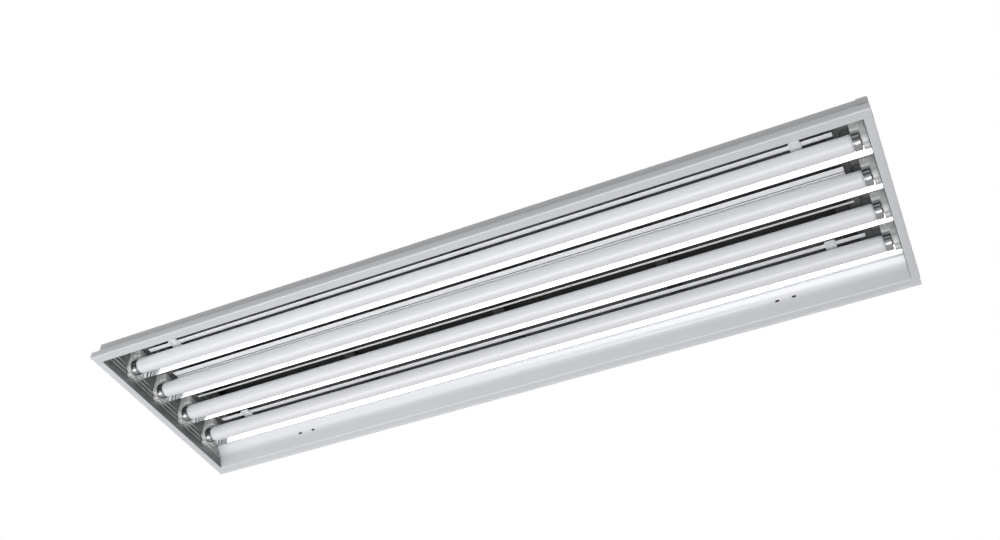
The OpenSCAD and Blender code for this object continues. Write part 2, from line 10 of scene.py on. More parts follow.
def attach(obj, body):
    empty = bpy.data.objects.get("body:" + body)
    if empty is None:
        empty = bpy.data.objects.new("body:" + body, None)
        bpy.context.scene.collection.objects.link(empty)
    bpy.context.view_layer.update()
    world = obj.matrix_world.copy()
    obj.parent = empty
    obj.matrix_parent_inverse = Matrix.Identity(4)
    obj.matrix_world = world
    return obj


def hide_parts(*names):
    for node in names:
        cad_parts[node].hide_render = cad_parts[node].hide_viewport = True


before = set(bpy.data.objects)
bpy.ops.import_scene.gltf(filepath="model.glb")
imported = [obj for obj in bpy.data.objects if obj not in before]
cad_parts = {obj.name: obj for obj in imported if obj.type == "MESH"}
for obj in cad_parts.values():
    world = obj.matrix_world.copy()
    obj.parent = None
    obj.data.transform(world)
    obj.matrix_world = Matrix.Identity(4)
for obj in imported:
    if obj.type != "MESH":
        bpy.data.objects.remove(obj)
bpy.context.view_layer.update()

# Sizes are in millimetres until a mesh is made, and the frame is in metres
METRE = 0.001

# Places along the light
LAMP_HALF = 599.7
HOLDER_FACE = 600.2
BAY_END = 609.2
END_RIM_IN = 609.5
BODY_HALF = 622.5
PLATE_IN = 621.6
SHELL_HALF = 621.5
STRIP_HALF = 566.0
RIDGE_HALF = 608.9
CHANNEL_HALF = 580.0
BUTTON_X = 515.0

# Places across the light
LAMP_Y = (-105.0, -35.0, 35.0, 105.0)
RIDGE_Y = (-70.0, 0.0, 70.0)
LIP_Y = 182.75
BAY_Y = 165.75
KNEE_Y = 155.0
CREST_Y = 142.0
WALL_Y = 168.5
ROOF_Y = 140.0
SEAM_Y = 165.45

# Heights
LAMP_Z = 30.0
BEAD_DROP = 1.4
KNEE_Z = 24.0
CREST_Z = 35.6
STRIP_Z = 46.5
BAR_Z = 51.0
SHOULDER_Z = 40.0
CEILING_Z = 61.1
ROOF_Z = 62.0
CHANNEL_Z = 94.0
BUTTON_Z = 44.6
BALLAST_Z = 93.1

# Thickness and bend radii of sheets
SHEET = 0.9
MIRROR = 0.6
BEND = 0.8
SMALL_BEND = 0.5

# Edges stay sharp above these angles, in degrees
SHEET_ANGLE = 25
CAP_ANGLE = 20
MOULD_ANGLE = 30
LEAD_ANGLE = 50


# Meshes

def new_piece(name, verts, faces):
    """A mesh object from points in millimetres, with its faces turned outwards."""
    mesh = bpy.data.meshes.new(name)
    mesh.from_pydata([Vector(v) * METRE for v in verts], [], faces)
    work = bmesh.new()
    work.from_mesh(mesh)
    bmesh.ops.recalc_face_normals(work, faces=work.faces)
    work.to_mesh(mesh)
    work.free()
    piece = bpy.data.objects.new(name, mesh)
    bpy.context.scene.collection.objects.link(piece)
    return piece


def smooth(piece, angle=MOULD_ANGLE):
    """Smooth shading that stays sharp at edges above the angle."""
    piece.data.shade_smooth()
    piece.data.set_sharp_from_angle(angle=math.radians(angle))
    return piece


def settle(piece):
    """Applies the piece's modifiers to its mesh."""
    graph = bpy.context.evaluated_depsgraph_get()
    mesh = bpy.data.meshes.new_from_object(piece.evaluated_get(graph))
    piece.modifiers.clear()
    piece.data = mesh
    return piece


def drop(piece):
    bpy.data.objects.remove(piece)


def cut_away(piece, *tools):
    """Takes the tools' shapes out of the piece."""
    for tool in tools:
        cutter = piece.modifiers.new("cut", "BOOLEAN")
        cutter.object = tool
        cutter.operation = "DIFFERENCE"
        cutter.solver = "EXACT"
    settle(piece)
    for tool in tools:
        drop(tool)
    return piece


def soften(piece, width, segments=2, angle=35):
    """Rounds the piece's sharp edges."""
    rounding = piece.modifiers.new("round", "BEVEL")
    rounding.width = width * METRE
    rounding.segments = segments
    rounding.limit_method = "ANGLE"
    rounding.angle_limit = math.radians(angle)
    rounding.harden_normals = False
    return settle(piece)


def join(name, *pieces):
    """One piece from several, in the order given."""
    whole = bmesh.new()
    for part in pieces:
        part.data.transform(part.matrix_world)
        whole.from_mesh(part.data)
    mesh = bpy.data.meshes.new(name)
    whole.to_mesh(mesh)
    whole.free()
    for part in pieces:
        drop(part)
    piece = bpy.data.objects.new(name, mesh)
    bpy.context.scene.collection.objects.link(piece)
    return piece


def turned(piece, matrix):
    """Moves the mesh itself, so that the object stays at the origin."""
    piece.data.transform(matrix)
    if matrix.determinant() < 0:
        piece.data.flip_normals()
    return piece


def move(x=0.0, y=0.0, z=0.0):
    return Matrix.Translation(Vector((x, y, z)) * METRE)


def twin(piece, name, matrix):
    """A copy of the piece in another place."""
    copy = bpy.data.objects.new(name, piece.data.copy())
    bpy.context.scene.collection.objects.link(copy)
    return turned(copy, matrix)


HALF_TURN = Matrix.Rotation(math.pi, 4, "Z")
OTHER_END = Matrix.Scale(-1, 4, (1, 0, 0))


# A smaller turn than this, in radians, is no bend
STRAIGHT = 0.0001


def left_of(a, b):
    way = (b - a).normalized()
    return Vector((-way.y, way.x))


def sheet_faces(path, thick, bends, arc_steps=5):
    """The shown and the hidden face of a folded sheet, with rounded bends.
    The hidden face lies thick to the left of the path. bends is one inner radius, or one a bend."""
    points = [Vector(p) for p in path]
    inner = bends if isinstance(bends, (list, tuple)) else [bends] * (len(points) - 2)
    shown = [points[0]]
    hidden = [points[0] + left_of(points[0], points[1]) * thick]
    for before, corner, after, bend in zip(points, points[1:], points[2:], inner):
        came, goes = (corner - before).normalized(), (after - corner).normalized()
        turn = math.atan2(came.x * goes.y - came.y * goes.x, came.dot(goes))
        if abs(turn) < STRAIGHT:
            shown.append(corner)
            hidden.append(corner + left_of(before, corner) * thick)
            continue
        side = math.copysign(1, turn)
        outer_shown = side * thick > 0
        shown_r = bend + (abs(thick) if outer_shown else 0)
        hidden_r = bend + (0 if outer_shown else abs(thick))
        start = corner - came * shown_r * math.tan(abs(turn) / 2)
        centre = start + left_of(before, corner) * side * shown_r
        spoke = (start - centre).normalized()
        steps = max(2, math.ceil(abs(turn) / math.radians(90) * arc_steps))
        for k in range(steps + 1):
            arm = Matrix.Rotation(turn * k / steps, 2) @ spoke
            shown.append(centre + arm * shown_r)
            hidden.append(centre + arm * hidden_r)
    shown.append(points[-1])
    hidden.append(points[-1] + left_of(points[-2], points[-1]) * thick)
    return shown, hidden


def folded(name, path, thick, bends, reach, along="X"):
    """A folded sheet. The path is a section in Y and Z, or in X and Z for a piece along Y.
    reach gives both ends of the piece, or a function of a section point that does."""
    shown, hidden = sheet_faces(path, thick, bends)
    ends = reach if callable(reach) else lambda p: reach
    verts = []
    for p in [q for pair in zip(shown, hidden) for q in pair]:
        for end in ends(p):
            verts.append((end, p.x, p.y) if along == "X" else (p.x, end, p.y))
    faces = []
    last = len(shown) - 1
    for i in range(last):
        a = i * 4
        b = a + 4
        faces += [
            (a, a + 1, b + 1, b),
            (a + 2, b + 2, b + 3, a + 3),
            (a, b, b + 2, a + 2),
            (a + 1, a + 3, b + 3, b + 1)]
    end = last * 4
    faces += [(0, 2, 3, 1), (end, end + 1, end + 3, end + 2)]
    return smooth(new_piece(name, verts, faces), SHEET_ANGLE)


def slab(name, outline, low, high, axis="X"):
    """An outline in the other two axes, made thick along one axis."""
    def place(p, level):
        at = {"X": (level, p[0], p[1]), "Y": (p[0], level, p[1]), "Z": (p[0], p[1], level)}
        return at[axis]

    count = len(outline)
    verts = [place(p, level) for level in (low, high) for p in outline]
    faces = [tuple(range(count)), tuple(range(count, count * 2))]
    faces += [(i, (i + 1) % count, (i + 1) % count + count, i + count) for i in range(count)]
    return new_piece(name, verts, faces)


def block(name, low, high):
    """A block between two corners, for cutting or softening."""
    outline = [(low[0], low[1]), (high[0], low[1]), (high[0], high[1]), (low[0], high[1])]
    return slab(name, outline, low[2], high[2], "Z")


def round_points(radius, count, centre=(0.0, 0.0), start=0.0, sweep=360.0):
    """Points on an arc, or on a whole circle without its last point."""
    steps = count if sweep == 360.0 else count - 1
    return [
        (centre[0] + radius * math.cos(math.radians(start + sweep * k / steps)),
         centre[1] + radius * math.sin(math.radians(start + sweep * k / steps)))
        for k in range(count)]


def lathe(name, profile, sides=64, closed=False, angle=MOULD_ANGLE):
    """A profile of radius and length, turned round the X axis."""
    verts, faces = [], []
    for radius, length in profile:
        for k in range(sides):
            a = math.tau * k / sides
            verts.append((length, radius * math.cos(a), radius * math.sin(a)))
    rows = len(profile)
    for i in range(rows if closed else rows - 1):
        for k in range(sides):
            a, b = i * sides, (i + 1) % rows * sides
            faces.append((a + k, a + (k + 1) % sides, b + (k + 1) % sides, b + k))
    if not closed:
        faces.append(tuple(range(sides)))
        faces.append(tuple(range((rows - 1) * sides, rows * sides)))
    return smooth(new_piece(name, verts, faces), angle)


# Points along a lead's bend, and the part of a run that a bend may take up
BEND_STEPS = 6
RUN_PART = 2.1


def swept(name, points, radius, bend=6.0, sides=12):
    """A round lead along straight runs, with rounded bends."""
    corners = [Vector(p) for p in points]
    line = [corners[0]]
    for before, corner, after in zip(corners, corners[1:], corners[2:]):
        came, goes = (corner - before), (after - corner)
        reach = min(bend, came.length / RUN_PART, goes.length / RUN_PART)
        start, end = corner - came.normalized() * reach, corner + goes.normalized() * reach
        for k in range(BEND_STEPS + 1):
            t = k / BEND_STEPS
            line.append(start.lerp(corner, t).lerp(corner.lerp(end, t), t))
    line.append(corners[-1])
    side = Vector((0, 0, 1))
    angles = [math.tau * k / sides for k in range(sides)]
    rings, faces = [], []
    for i, point in enumerate(line):
        way = (line[min(i + 1, len(line) - 1)] - line[max(i - 1, 0)]).normalized()
        side = (side - way * side.dot(way)).normalized()
        other = way.cross(side)
        rings += [point + (side * math.cos(a) + other * math.sin(a)) * radius for a in angles]
    for i in range(len(line) - 1):
        for k in range(sides):
            a, b = i * sides + k, i * sides + (k + 1) % sides
            faces.append((a, b, b + sides, a + sides))
    last = (len(line) - 1) * sides
    faces += [tuple(range(sides)), tuple(range(last, last + sides))]
    return smooth(new_piece(name, rings, faces), LEAD_ANGLE)


def hexagon(across_corners):
    return round_points(across_corners / 2, 6)


def stack(name, *rounds):
    """Layers along Z. Each is an outline, a low and a high level and an edge radius."""
    layers = []
    for outline, low, high, edge in rounds:
        layer = slab("layer", outline, low, high, "Z")
        if edge:
            soften(layer, edge)
        layers.append(layer)
    return smooth(join(name, *layers))


# Finishes

def socket_group(name, inputs, outputs):
    """An empty node group with named inputs and outputs."""
    group = bpy.data.node_groups.new(name, "ShaderNodeTree")
    for title, kind, value in inputs:
        entry = group.interface.new_socket(title, in_out="INPUT", socket_type=kind)
        if value is not None:
            entry.default_value = value
    for title, kind in outputs:
        group.interface.new_socket(title, in_out="OUTPUT", socket_type=kind)
    group.nodes.new("NodeGroupInput")
    group.nodes.new("NodeGroupOutput")
    return group


def node(tree, kind, **settings):
    """A new node. A setting is a property, or the value of the input of that title."""
    made = tree.nodes.new(kind)
    for key, value in settings.items():
        title = key.replace("_", " ")
        if title in made.inputs:
            made.inputs[title].default_value = value
        else:
            setattr(made, key, value)
    return made


def grain_group():
    """Fine texture, stretched along the light where a metal is rolled or drawn."""
    group = socket_group(
        "surface_grain",
        [("Vector", "NodeSocketVector", None), ("Stretch", "NodeSocketVector", (1, 1, 1)),
         ("Scale", "NodeSocketFloat", 900.0), ("Patch Scale", "NodeSocketFloat", 9.0)],
        [("Height", "NodeSocketFloat"), ("Patches", "NodeSocketFloat")])
    source, result = group.nodes["Group Input"], group.nodes["Group Output"]
    stretched = node(group, "ShaderNodeVectorMath", operation="MULTIPLY")
    fine = node(group, "ShaderNodeTexNoise", Detail=3.0, Roughness=0.55)
    broad = node(group, "ShaderNodeTexNoise", Detail=4.0, Roughness=0.6)
    link = group.links.new
    link(source.outputs["Vector"], stretched.inputs[0])
    link(source.outputs["Stretch"], stretched.inputs[1])
    for texture, size in ((fine, "Scale"), (broad, "Patch Scale")):
        link(stretched.outputs["Vector"], texture.inputs["Vector"])
        link(source.outputs[size], texture.inputs["Scale"])
    link(fine.outputs["Fac"], result.inputs["Height"])
    link(broad.outputs["Fac"], result.inputs["Patches"])
    return group


def dust_group():
    """Thin dust that lies in soft patches, as a mask."""
    group = socket_group(
        "settled_dust",
        [("Vector", "NodeSocketVector", None), ("Scale", "NodeSocketFloat", 14.0),
         ("Least", "NodeSocketFloat", 0.5), ("Most", "NodeSocketFloat", 0.75)],
        [("Mask", "NodeSocketFloat")])
    source, result = group.nodes["Group Input"], group.nodes["Group Output"]
    cloud = node(group, "ShaderNodeTexNoise", Detail=8.0, Roughness=0.65)
    spread = node(group, "ShaderNodeMapRange", interpolation_type="SMOOTHSTEP")
    link = group.links.new
    link(source.outputs["Vector"], cloud.inputs["Vector"])
    link(source.outputs["Scale"], cloud.inputs["Scale"])
    link(cloud.outputs["Fac"], spread.inputs["Value"])
    link(source.outputs["Least"], spread.inputs["From Min"])
    link(source.outputs["Most"], spread.inputs["From Max"])
    link(spread.outputs["Result"], result.inputs["Mask"])
    return group


def spangle_group():
    """The crystal pattern of zinc-coated steel, as a tone and a roughness mask."""
    group = socket_group(
        "zinc_spangle",
        [("Vector", "NodeSocketVector", None), ("Scale", "NodeSocketFloat", 130.0)],
        [("Tone", "NodeSocketFloat")])
    source, result = group.nodes["Group Input"], group.nodes["Group Output"]
    crystals = node(group, "ShaderNodeTexVoronoi", feature="F1")
    grey = node(group, "ShaderNodeSeparateColor")
    link = group.links.new
    link(source.outputs["Vector"], crystals.inputs["Vector"])
    link(source.outputs["Scale"], crystals.inputs["Scale"])
    link(crystals.outputs["Color"], grey.inputs["Color"])
    link(grey.outputs["Red"], result.inputs["Tone"])
    return group


GRAIN = grain_group()
DUST = dust_group()
SPANGLE = spangle_group()


# Sockets of a colour mix
MIX_SHARE, MIX_FIRST, MIX_SECOND = 0, 6, 7
MIX_RESULT = 2


def mixed(tree, share, first, second, blend="MIX"):
    """Mixes the second colour into the first. Each of the three is a value or a socket."""
    mix = node(tree, "ShaderNodeMix", data_type="RGBA", blend_type=blend)
    for place, value in ((MIX_SHARE, share), (MIX_FIRST, first), (MIX_SECOND, second)):
        if isinstance(value, bpy.types.NodeSocket):
            tree.links.new(value, mix.inputs[place])
        else:
            mix.inputs[place].default_value = (*value, 1) if isinstance(value, tuple) else value
    return mix.outputs[MIX_RESULT]


def finish(name, low, high, rough, metallic=0.0, stretch=(1, 1, 1), scale=900.0, patch=9.0,
           bump=0.05, depth=0.0002, dust=None, spangle=0.0, upper=None, **plain):
    """A finish whose colour runs between low and high in soft patches, with a fine grain.
    rough is the least and most roughness, dust a colour and how much of it lies there, and
    upper a colour with the two heights between which it comes in, as painted light."""
    material = bpy.data.materials.new(name)
    material.use_nodes = True
    tree = material.node_tree
    link = tree.links.new
    shader = tree.nodes["Principled BSDF"]
    shader.inputs["Metallic"].default_value = metallic
    for key, value in plain.items():
        shader.inputs[key.replace("_", " ")].default_value = value
    place = node(tree, "ShaderNodeTexCoord").outputs["Object"]
    grain = node(tree, "ShaderNodeGroup", node_tree=GRAIN)
    grain.inputs["Stretch"].default_value = stretch
    grain.inputs["Scale"].default_value = scale
    grain.inputs["Patch Scale"].default_value = patch
    link(place, grain.inputs["Vector"])
    mask = grain.outputs["Patches"]
    colour = mixed(tree, mask, low, high)
    if spangle:
        zinc = node(tree, "ShaderNodeGroup", node_tree=SPANGLE)
        link(place, zinc.inputs["Vector"])
        mask = zinc.outputs["Tone"]
        colour = mixed(tree, spangle, colour, mask, "MULTIPLY")
    # Painted light: the colour lightens towards the raised colour between the two heights
    if upper:
        raised, from_z, to_z = upper
        height = node(tree, "ShaderNodeSeparateXYZ")
        link(place, height.inputs["Vector"])
        rise = node(tree, "ShaderNodeMapRange", interpolation_type="SMOOTHSTEP")
        rise.inputs["From Min"].default_value = from_z * METRE
        rise.inputs["From Max"].default_value = to_z * METRE
        link(height.outputs["Z"], rise.inputs["Value"])
        colour = mixed(tree, rise.outputs["Result"], colour, raised)
    if dust:
        dust_colour, most = dust
        veil = node(tree, "ShaderNodeGroup", node_tree=DUST)
        link(place, veil.inputs["Vector"])
        share = node(tree, "ShaderNodeMath", operation="MULTIPLY")
        share.inputs[1].default_value = most
        link(veil.outputs["Mask"], share.inputs[0])
        colour = mixed(tree, share.outputs["Value"], colour, dust_colour)
    link(colour, shader.inputs["Base Color"])
    gloss = node(tree, "ShaderNodeMapRange")
    gloss.inputs["To Min"].default_value, gloss.inputs["To Max"].default_value = rough
    link(mask, gloss.inputs["Value"])
    link(gloss.outputs["Result"], shader.inputs["Roughness"])
    relief = node(tree, "ShaderNodeBump")
    relief.inputs["Strength"].default_value = bump
    relief.inputs["Distance"].default_value = depth
    link(grain.outputs["Height"], relief.inputs["Height"])
    link(relief.outputs["Normal"], shader.inputs["Normal"])
    return material


DUST_GREY = (0.42, 0.41, 0.38)
PAINT = finish(
    "white_enamel", (0.735, 0.755, 0.785), (0.775, 0.795, 0.825), (0.26, 0.34),
    scale=1500.0, bump=0.06, dust=(DUST_GREY, 0.05), Coat_Weight=1.0, Coat_Roughness=0.12)
# The same white enamel, lightened towards the top of the skirt: painted light, standing in for the
# key light on the upper slope
SKIRT_PAINTED_LIGHT = finish(
    "skirt_enamel_with_painted_light", (0.715, 0.735, 0.765), (0.755, 0.775, 0.805), (0.26, 0.34),
    scale=1500.0, bump=0.06, upper=((0.94, 0.95, 0.98), 15.0, 27.0),
    Coat_Weight=1.0, Coat_Roughness=0.12)
# Painted shade: a dark finish with dust for the faces inside the housing, which lie in the
# reflectors' shade
PAINTED_SHADE_INSIDE = finish(
    "painted_shade_inside_housing", (0.13, 0.138, 0.135), (0.19, 0.198, 0.194), (0.45, 0.6),
    scale=1500.0, bump=0.1, dust=(DUST_GREY, 0.05))
MIRROR_SHEET = finish(
    "polished_reflector", (0.91, 0.925, 0.945), (0.935, 0.95, 0.965), (0.045, 0.085),
    metallic=1.0, stretch=(0.02, 1, 1), scale=700.0, patch=30.0, bump=0.01)
STRIP_SHEET = finish(
    "semi_specular_strip", (0.94, 0.945, 0.955), (0.97, 0.975, 0.985), (0.36, 0.44),
    metallic=0.35, stretch=(0.02, 1, 1), scale=700.0, patch=30.0, bump=0.01)
# Painted shade: a dark zinc tone with spangle on the end plates' upright faces inside the rim,
# which lie in shade
RIM_PAINTED_SHADE = finish(
    "painted_shade_inside_the_rim", (0.20, 0.21, 0.205), (0.27, 0.28, 0.275), (0.34, 0.46),
    metallic=0.5, scale=1200.0, bump=0.08, spangle=0.15)
# The mill-finish back of the reflector sheets. It also puts painted shade on the upright faces of
# their polished side
MILL_BACK_AND_PAINTED_SHADE = finish(
    "mill_back_and_painted_shade", (0.15, 0.155, 0.16), (0.21, 0.215, 0.22), (0.4, 0.5),
    metallic=0.6, stretch=(0.05, 1, 1), scale=700.0, bump=0.05)
# Painted shade: zinc-coated steel with spangle, darkened almost to black for the shade that the
# bars and hangers stand in
PAINTED_SHADE_ZINC = finish(
    "zinc_with_painted_shade", (0.024, 0.026, 0.025), (0.04, 0.043, 0.041), (0.5, 0.65),
    metallic=0.0, scale=1200.0, bump=0.1, spangle=0.25)
ZINC = finish(
    "zinc_coated_steel", (0.34, 0.36, 0.35), (0.42, 0.44, 0.43), (0.34, 0.5),
    metallic=0.85, scale=1200.0, bump=0.1, spangle=0.25)
PLATED = finish(
    "bright_plated_steel", (0.62, 0.62, 0.60), (0.72, 0.72, 0.70), (0.2, 0.34),
    metallic=1.0, scale=2500.0, bump=0.08)
BALLAST_PAINT = finish(
    "ballast_enamel", (0.72, 0.72, 0.69), (0.78, 0.78, 0.75), (0.3, 0.42),
    scale=1300.0, bump=0.1, dust=(DUST_GREY, 0.1))
HOLDER_WHITE = finish(
    "holder_moulding", (0.84, 0.85, 0.85), (0.88, 0.885, 0.885), (0.3, 0.42),
    scale=2600.0, bump=0.06, dust=(DUST_GREY, 0.08))
BUTTON_WHITE = finish(
    "button_moulding", (0.71, 0.72, 0.735), (0.78, 0.79, 0.80), (0.18, 0.28),
    scale=2600.0, bump=0.05, dust=(DUST_GREY, 0.06))
BLACK_MOULDING = finish(
    "bushing_moulding", (0.018, 0.018, 0.019), (0.03, 0.03, 0.031), (0.4, 0.55),
    scale=2600.0, bump=0.15)
BLACK_SLEEVE = finish(
    "black_wire_sleeve", (0.075, 0.077, 0.078), (0.09, 0.092, 0.093), (0.45, 0.55),
    scale=1800.0, bump=0.1)
GREEN_PAINT = finish(
    "green_ground_paint", (0.03, 0.22, 0.07), (0.05, 0.28, 0.10), (0.3, 0.45),
    scale=2000.0, bump=0.12)
LAMP_WHITE = finish(
    "coated_lamp_glass", (0.92, 0.93, 0.965), (0.945, 0.955, 0.985), (0.3, 0.36),
    scale=2200.0, bump=0.02, Coat_Weight=0.4, Coat_Roughness=0.2)
# Aluminium darkened well below its own tone: a painted reflection of dark surroundings, so that
# only the light's highlight shows bright
CAP_METAL_PAINTED_REFLECTION = finish(
    "cap_aluminium_with_painted_dark_reflection", (0.22, 0.225, 0.235), (0.29, 0.295, 0.305), (0.16, 0.24),
    metallic=1.0, stretch=(1, 0.2, 0.2), scale=1500.0, bump=0.08)
PIN_METAL = finish(
    "pin_brass", (0.62, 0.50, 0.28), (0.72, 0.60, 0.36), (0.22, 0.34),
    metallic=1.0, scale=2500.0, bump=0.08)


# A face that looks further up than this is on the back of a reflector, or is an upright face that
# gets painted shade
BACK_TILT = -0.15
# A face that looks at the lamps by more than this share is on the inside of the housing
INSIDE_SHARE = 0.2


def show(piece, cad_node, body, material):
    """The piece stands for a CAD node, rides on its body and takes the finish given."""
    piece.data.materials.clear()
    piece.data.materials.append(material)
    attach(piece, body)
    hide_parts(cad_node)
    return piece


def coat(piece, material, chosen):
    """Gives a second finish to the faces that are chosen."""
    piece.data.materials.append(material)
    for face in piece.data.polygons:
        if chosen(face):
            face.material_index = 1


def coat_back(piece, material):
    """Gives a second finish to the faces that don't look down: the mill-finish back, and painted
    shade on the upright faces.
    """
    coat(piece, material, lambda face: face.normal.z > BACK_TILT)


def coat_inside(piece, material):
    """Gives a second finish, the painted shade, to the faces that look into the housing, towards
    the lamps.
    """
    def looks_in(face):
        inwards = Vector((0, -face.center.y, LAMP_Z * METRE - face.center.z))
        return face.normal.dot(inwards.normalized()) > INSIDE_SHARE

    coat(piece, material, looks_in)


# Camera: at the place that the photograph was taken from, without lens distortion

PHOTO_WIDTH = 1000
FOCAL_PIXELS = 1172.2
SENSOR = 36.0
VIEW_END = 100
CAMERA_AT = Vector((599.3, -1233.2, -1179.1))
CAMERA_RIGHT = Vector((0.90823707, 0.41833428, 0.01009286))
CAMERA_DOWN = Vector((-0.28028852, 0.62608396, -0.72763811))

lens = bpy.data.cameras.new("camera")
lens.sensor_width = SENSOR
lens.lens = FOCAL_PIXELS * SENSOR / PHOTO_WIDTH
lens.clip_end = VIEW_END
camera = bpy.data.objects.new("camera", lens)
bpy.context.scene.collection.objects.link(camera)
camera_back = CAMERA_RIGHT.cross(-CAMERA_DOWN)
camera.matrix_world = Matrix.Translation(CAMERA_AT * METRE) @ Matrix(
    (CAMERA_RIGHT, -CAMERA_DOWN, camera_back)).transposed().to_4x4()
bpy.context.scene.camera = camera


# Housing

LIP_TOP = 11.5
BEAD_W = 5.0
CREST_LEDGE = 6.0
# Bend radii of a rail from its lip to its crest. The knee is one wide, soft bend
RAIL_BENDS = (1.6, 0.35, 0.3, 1.6, 48.0, 0.5)
SLOT_X = (414.0, 440.0)
SLOT_HALF = 3.0
SLOT_Y = (KNEE_Y - 4, KNEE_Y + 6)
SLOT_Z = (20.5, 23.5)
# The skirt's painted light, a lighter colour towards its top, starts this far inside and above the
# rim flange
SKIRT_INSET = 0.3
SKIRT_LIFT = 0.2


def side_rails():
    path = [
        (LIP_Y, LIP_TOP), (LIP_Y, 0), (LIP_Y - BEAD_W, 0), (LIP_Y - BEAD_W, BEAD_DROP),
        (BAY_Y, BEAD_DROP), (KNEE_Y, KNEE_Z), (CREST_Y, CREST_Z),
        (CREST_Y + CREST_LEDGE, CREST_Z)]
    far = folded("far_rail_sheet", path, -SHEET, RAIL_BENDS, (-SHELL_HALF, SHELL_HALF))
    slots = [
        block(
            "slot", (side * x - SLOT_HALF, SLOT_Y[0], SLOT_Z[0]),
            (side * x + SLOT_HALF, SLOT_Y[1], SLOT_Z[1]))
        for side in (-1, 1) for x in SLOT_X]
    smooth(cut_away(far, *slots), SHEET_ANGLE)
    near = twin(far, "near_rail_sheet", HALF_TURN)

    def in_skirt(face):
        across, height = abs(face.center.y) / METRE, face.center.z / METRE
        return across < BAY_Y - SKIRT_INSET and height > BEAD_DROP + SKIRT_LIFT

    show(far, "far_side_rail", "housing", PAINT)
    show(near, "near_side_rail", "housing", PAINT)
    for rail in (near, far):
        # The skirt's faces take the enamel with painted light towards the top
        coat(rail, SKIRT_PAINTED_LIGHT, in_skirt)


PAN_FOOT_Z = 3.2
PAN_FOOT_W = 9.0
PAN_BEND = 1.0
# Half length and half width of the opening under the ballast channel, and the heights cut
WINDOW = (556.0, 51.0)
WINDOW_Z = (50.0, 70.0)


def pan_section(gap, low):
    """The pan's wall and shoulder on the +Y side, and their mirror image, a gap inside it."""
    side = [
        (WALL_Y - gap, low), (WALL_Y - gap, SHOULDER_Z - gap / 2),
        (ROOF_Y - gap / 2, ROOF_Z - gap)]
    return side, [(-y, z) for y, z in reversed(side)]


def top_pan():
    side, other = pan_section(0, PAN_FOOT_Z)
    foot_y = WALL_Y + PAN_FOOT_W
    path = [(foot_y, PAN_FOOT_Z)] + side + other + [(-foot_y, PAN_FOOT_Z)]
    pan = folded("pan_sheet", path, SHEET, PAN_BEND, (-SHELL_HALF, SHELL_HALF))
    window = block(
        "window", (-WINDOW[0], -WINDOW[1], WINDOW_Z[0]), (WINDOW[0], WINDOW[1], WINDOW_Z[1]))
    smooth(cut_away(pan, window), SHEET_ANGLE)
    show(pan, "top_pan", "housing", PAINT)
    # The pan's inside faces get painted shade
    coat_inside(pan, PAINTED_SHADE_INSIDE)


END_UPSTAND_TOP = 15.4
END_LIP_TOP = 6.0
# The ends of the upstand lean with the skirt from this height
LEAN_Z = 2.4
FLANGE_W = 10.0
FLANGE_FOOT_Z = 3.4
FLANGE_GAP = 0.1
# How far the flange and the outer plate run into each other
FLANGE_LAP = 0.2
TAB_L = 10.0
TAB_DROP = 12.0
TAB_GAP = 0.1
TAB_LIFT = (0.05, 0.1)
TAB_X = (BODY_HALF - 15, BODY_HALF - 2)
# A face that looks along the light by more than this share is upright
UPRIGHT_SHARE = 0.6


def end_plates():
    lean = (BAY_Y - KNEE_Y) / (KNEE_Z - BEAD_DROP)

    def rim_reach(p):
        back = max(0.0, p.y - LEAN_Z) * lean if p.x < PLATE_IN - 1 else 0.0
        half = SEAM_Y - back
        return (-half, half)

    path = [
        (END_RIM_IN, END_UPSTAND_TOP), (END_RIM_IN, BEAD_DROP), (BODY_HALF, BEAD_DROP),
        (BODY_HALF, END_LIP_TOP)]
    rim = folded("rim", path, SHEET, SMALL_BEND, rim_reach, "Y")
    side, other = pan_section(0, END_LIP_TOP)
    plate = slab("plate", side + other, PLATE_IN, BODY_HALF, "X")
    soften(plate, 0.25)
    side, other = pan_section(SHEET + FLANGE_GAP, FLANGE_FOOT_Z)
    flange = folded(
        "flange", side + other, SHEET, BEND, (PLATE_IN - FLANGE_W, PLATE_IN + FLANGE_LAP))
    slope = Vector((ROOF_Y - WALL_Y, ROOF_Z - SHOULDER_Z)).normalized()
    top = Vector((-WALL_Y - TAB_GAP, SHOULDER_Z))
    end = top + Vector((-slope.x, slope.y)) * TAB_L
    path = [
        (top.x, top.y - TAB_DROP), (top.x, top.y), (end.x - TAB_LIFT[0], end.y + TAB_LIFT[1])]
    tab = folded("tab", path, SHEET, BEND, TAB_X)
    right = smooth(join("right_end_sheet", rim, plate, flange, tab), SHEET_ANGLE)
    left = twin(right, "left_end_sheet", HALF_TURN)

    def inside_rim(face):
        upright = face.normal.x * face.center.x < 0 and abs(face.normal.x) > UPRIGHT_SHARE
        return upright and abs(face.center.x) < (END_RIM_IN + SHEET) * METRE

    for plate, end in ((right, "right"), (left, "left")):
        show(plate, f"{end}_end_plate", "housing", PAINT)
        # The rim's upright inner faces get painted shade
        coat(plate, RIM_PAINTED_SHADE, inside_rim)


SHELF_Z = 16.3
SHELF_LAP = 0.8
RIB_DEPTH = 1.2
RIB_W = 5.0
RIB_GAP = 3.0
WEB_JOG_Z = 40.0
WEB_TOP = 60.2
WEB_FOOT = 20.7
# Bend radii of the web: shelf, two ribs, the level where its ends change, and its foot
WEB_BENDS = [0.5] + [0.4] * 8 + [0.5, 0.6]
# Height and half width of the web, which follows the inside of the skirt
WEB_HALF = (
    (0, 157.8), (SHELF_Z, 157.8), (24, 154.2), (34.8, 141.2), (36, 138.0), (70, 138.3))


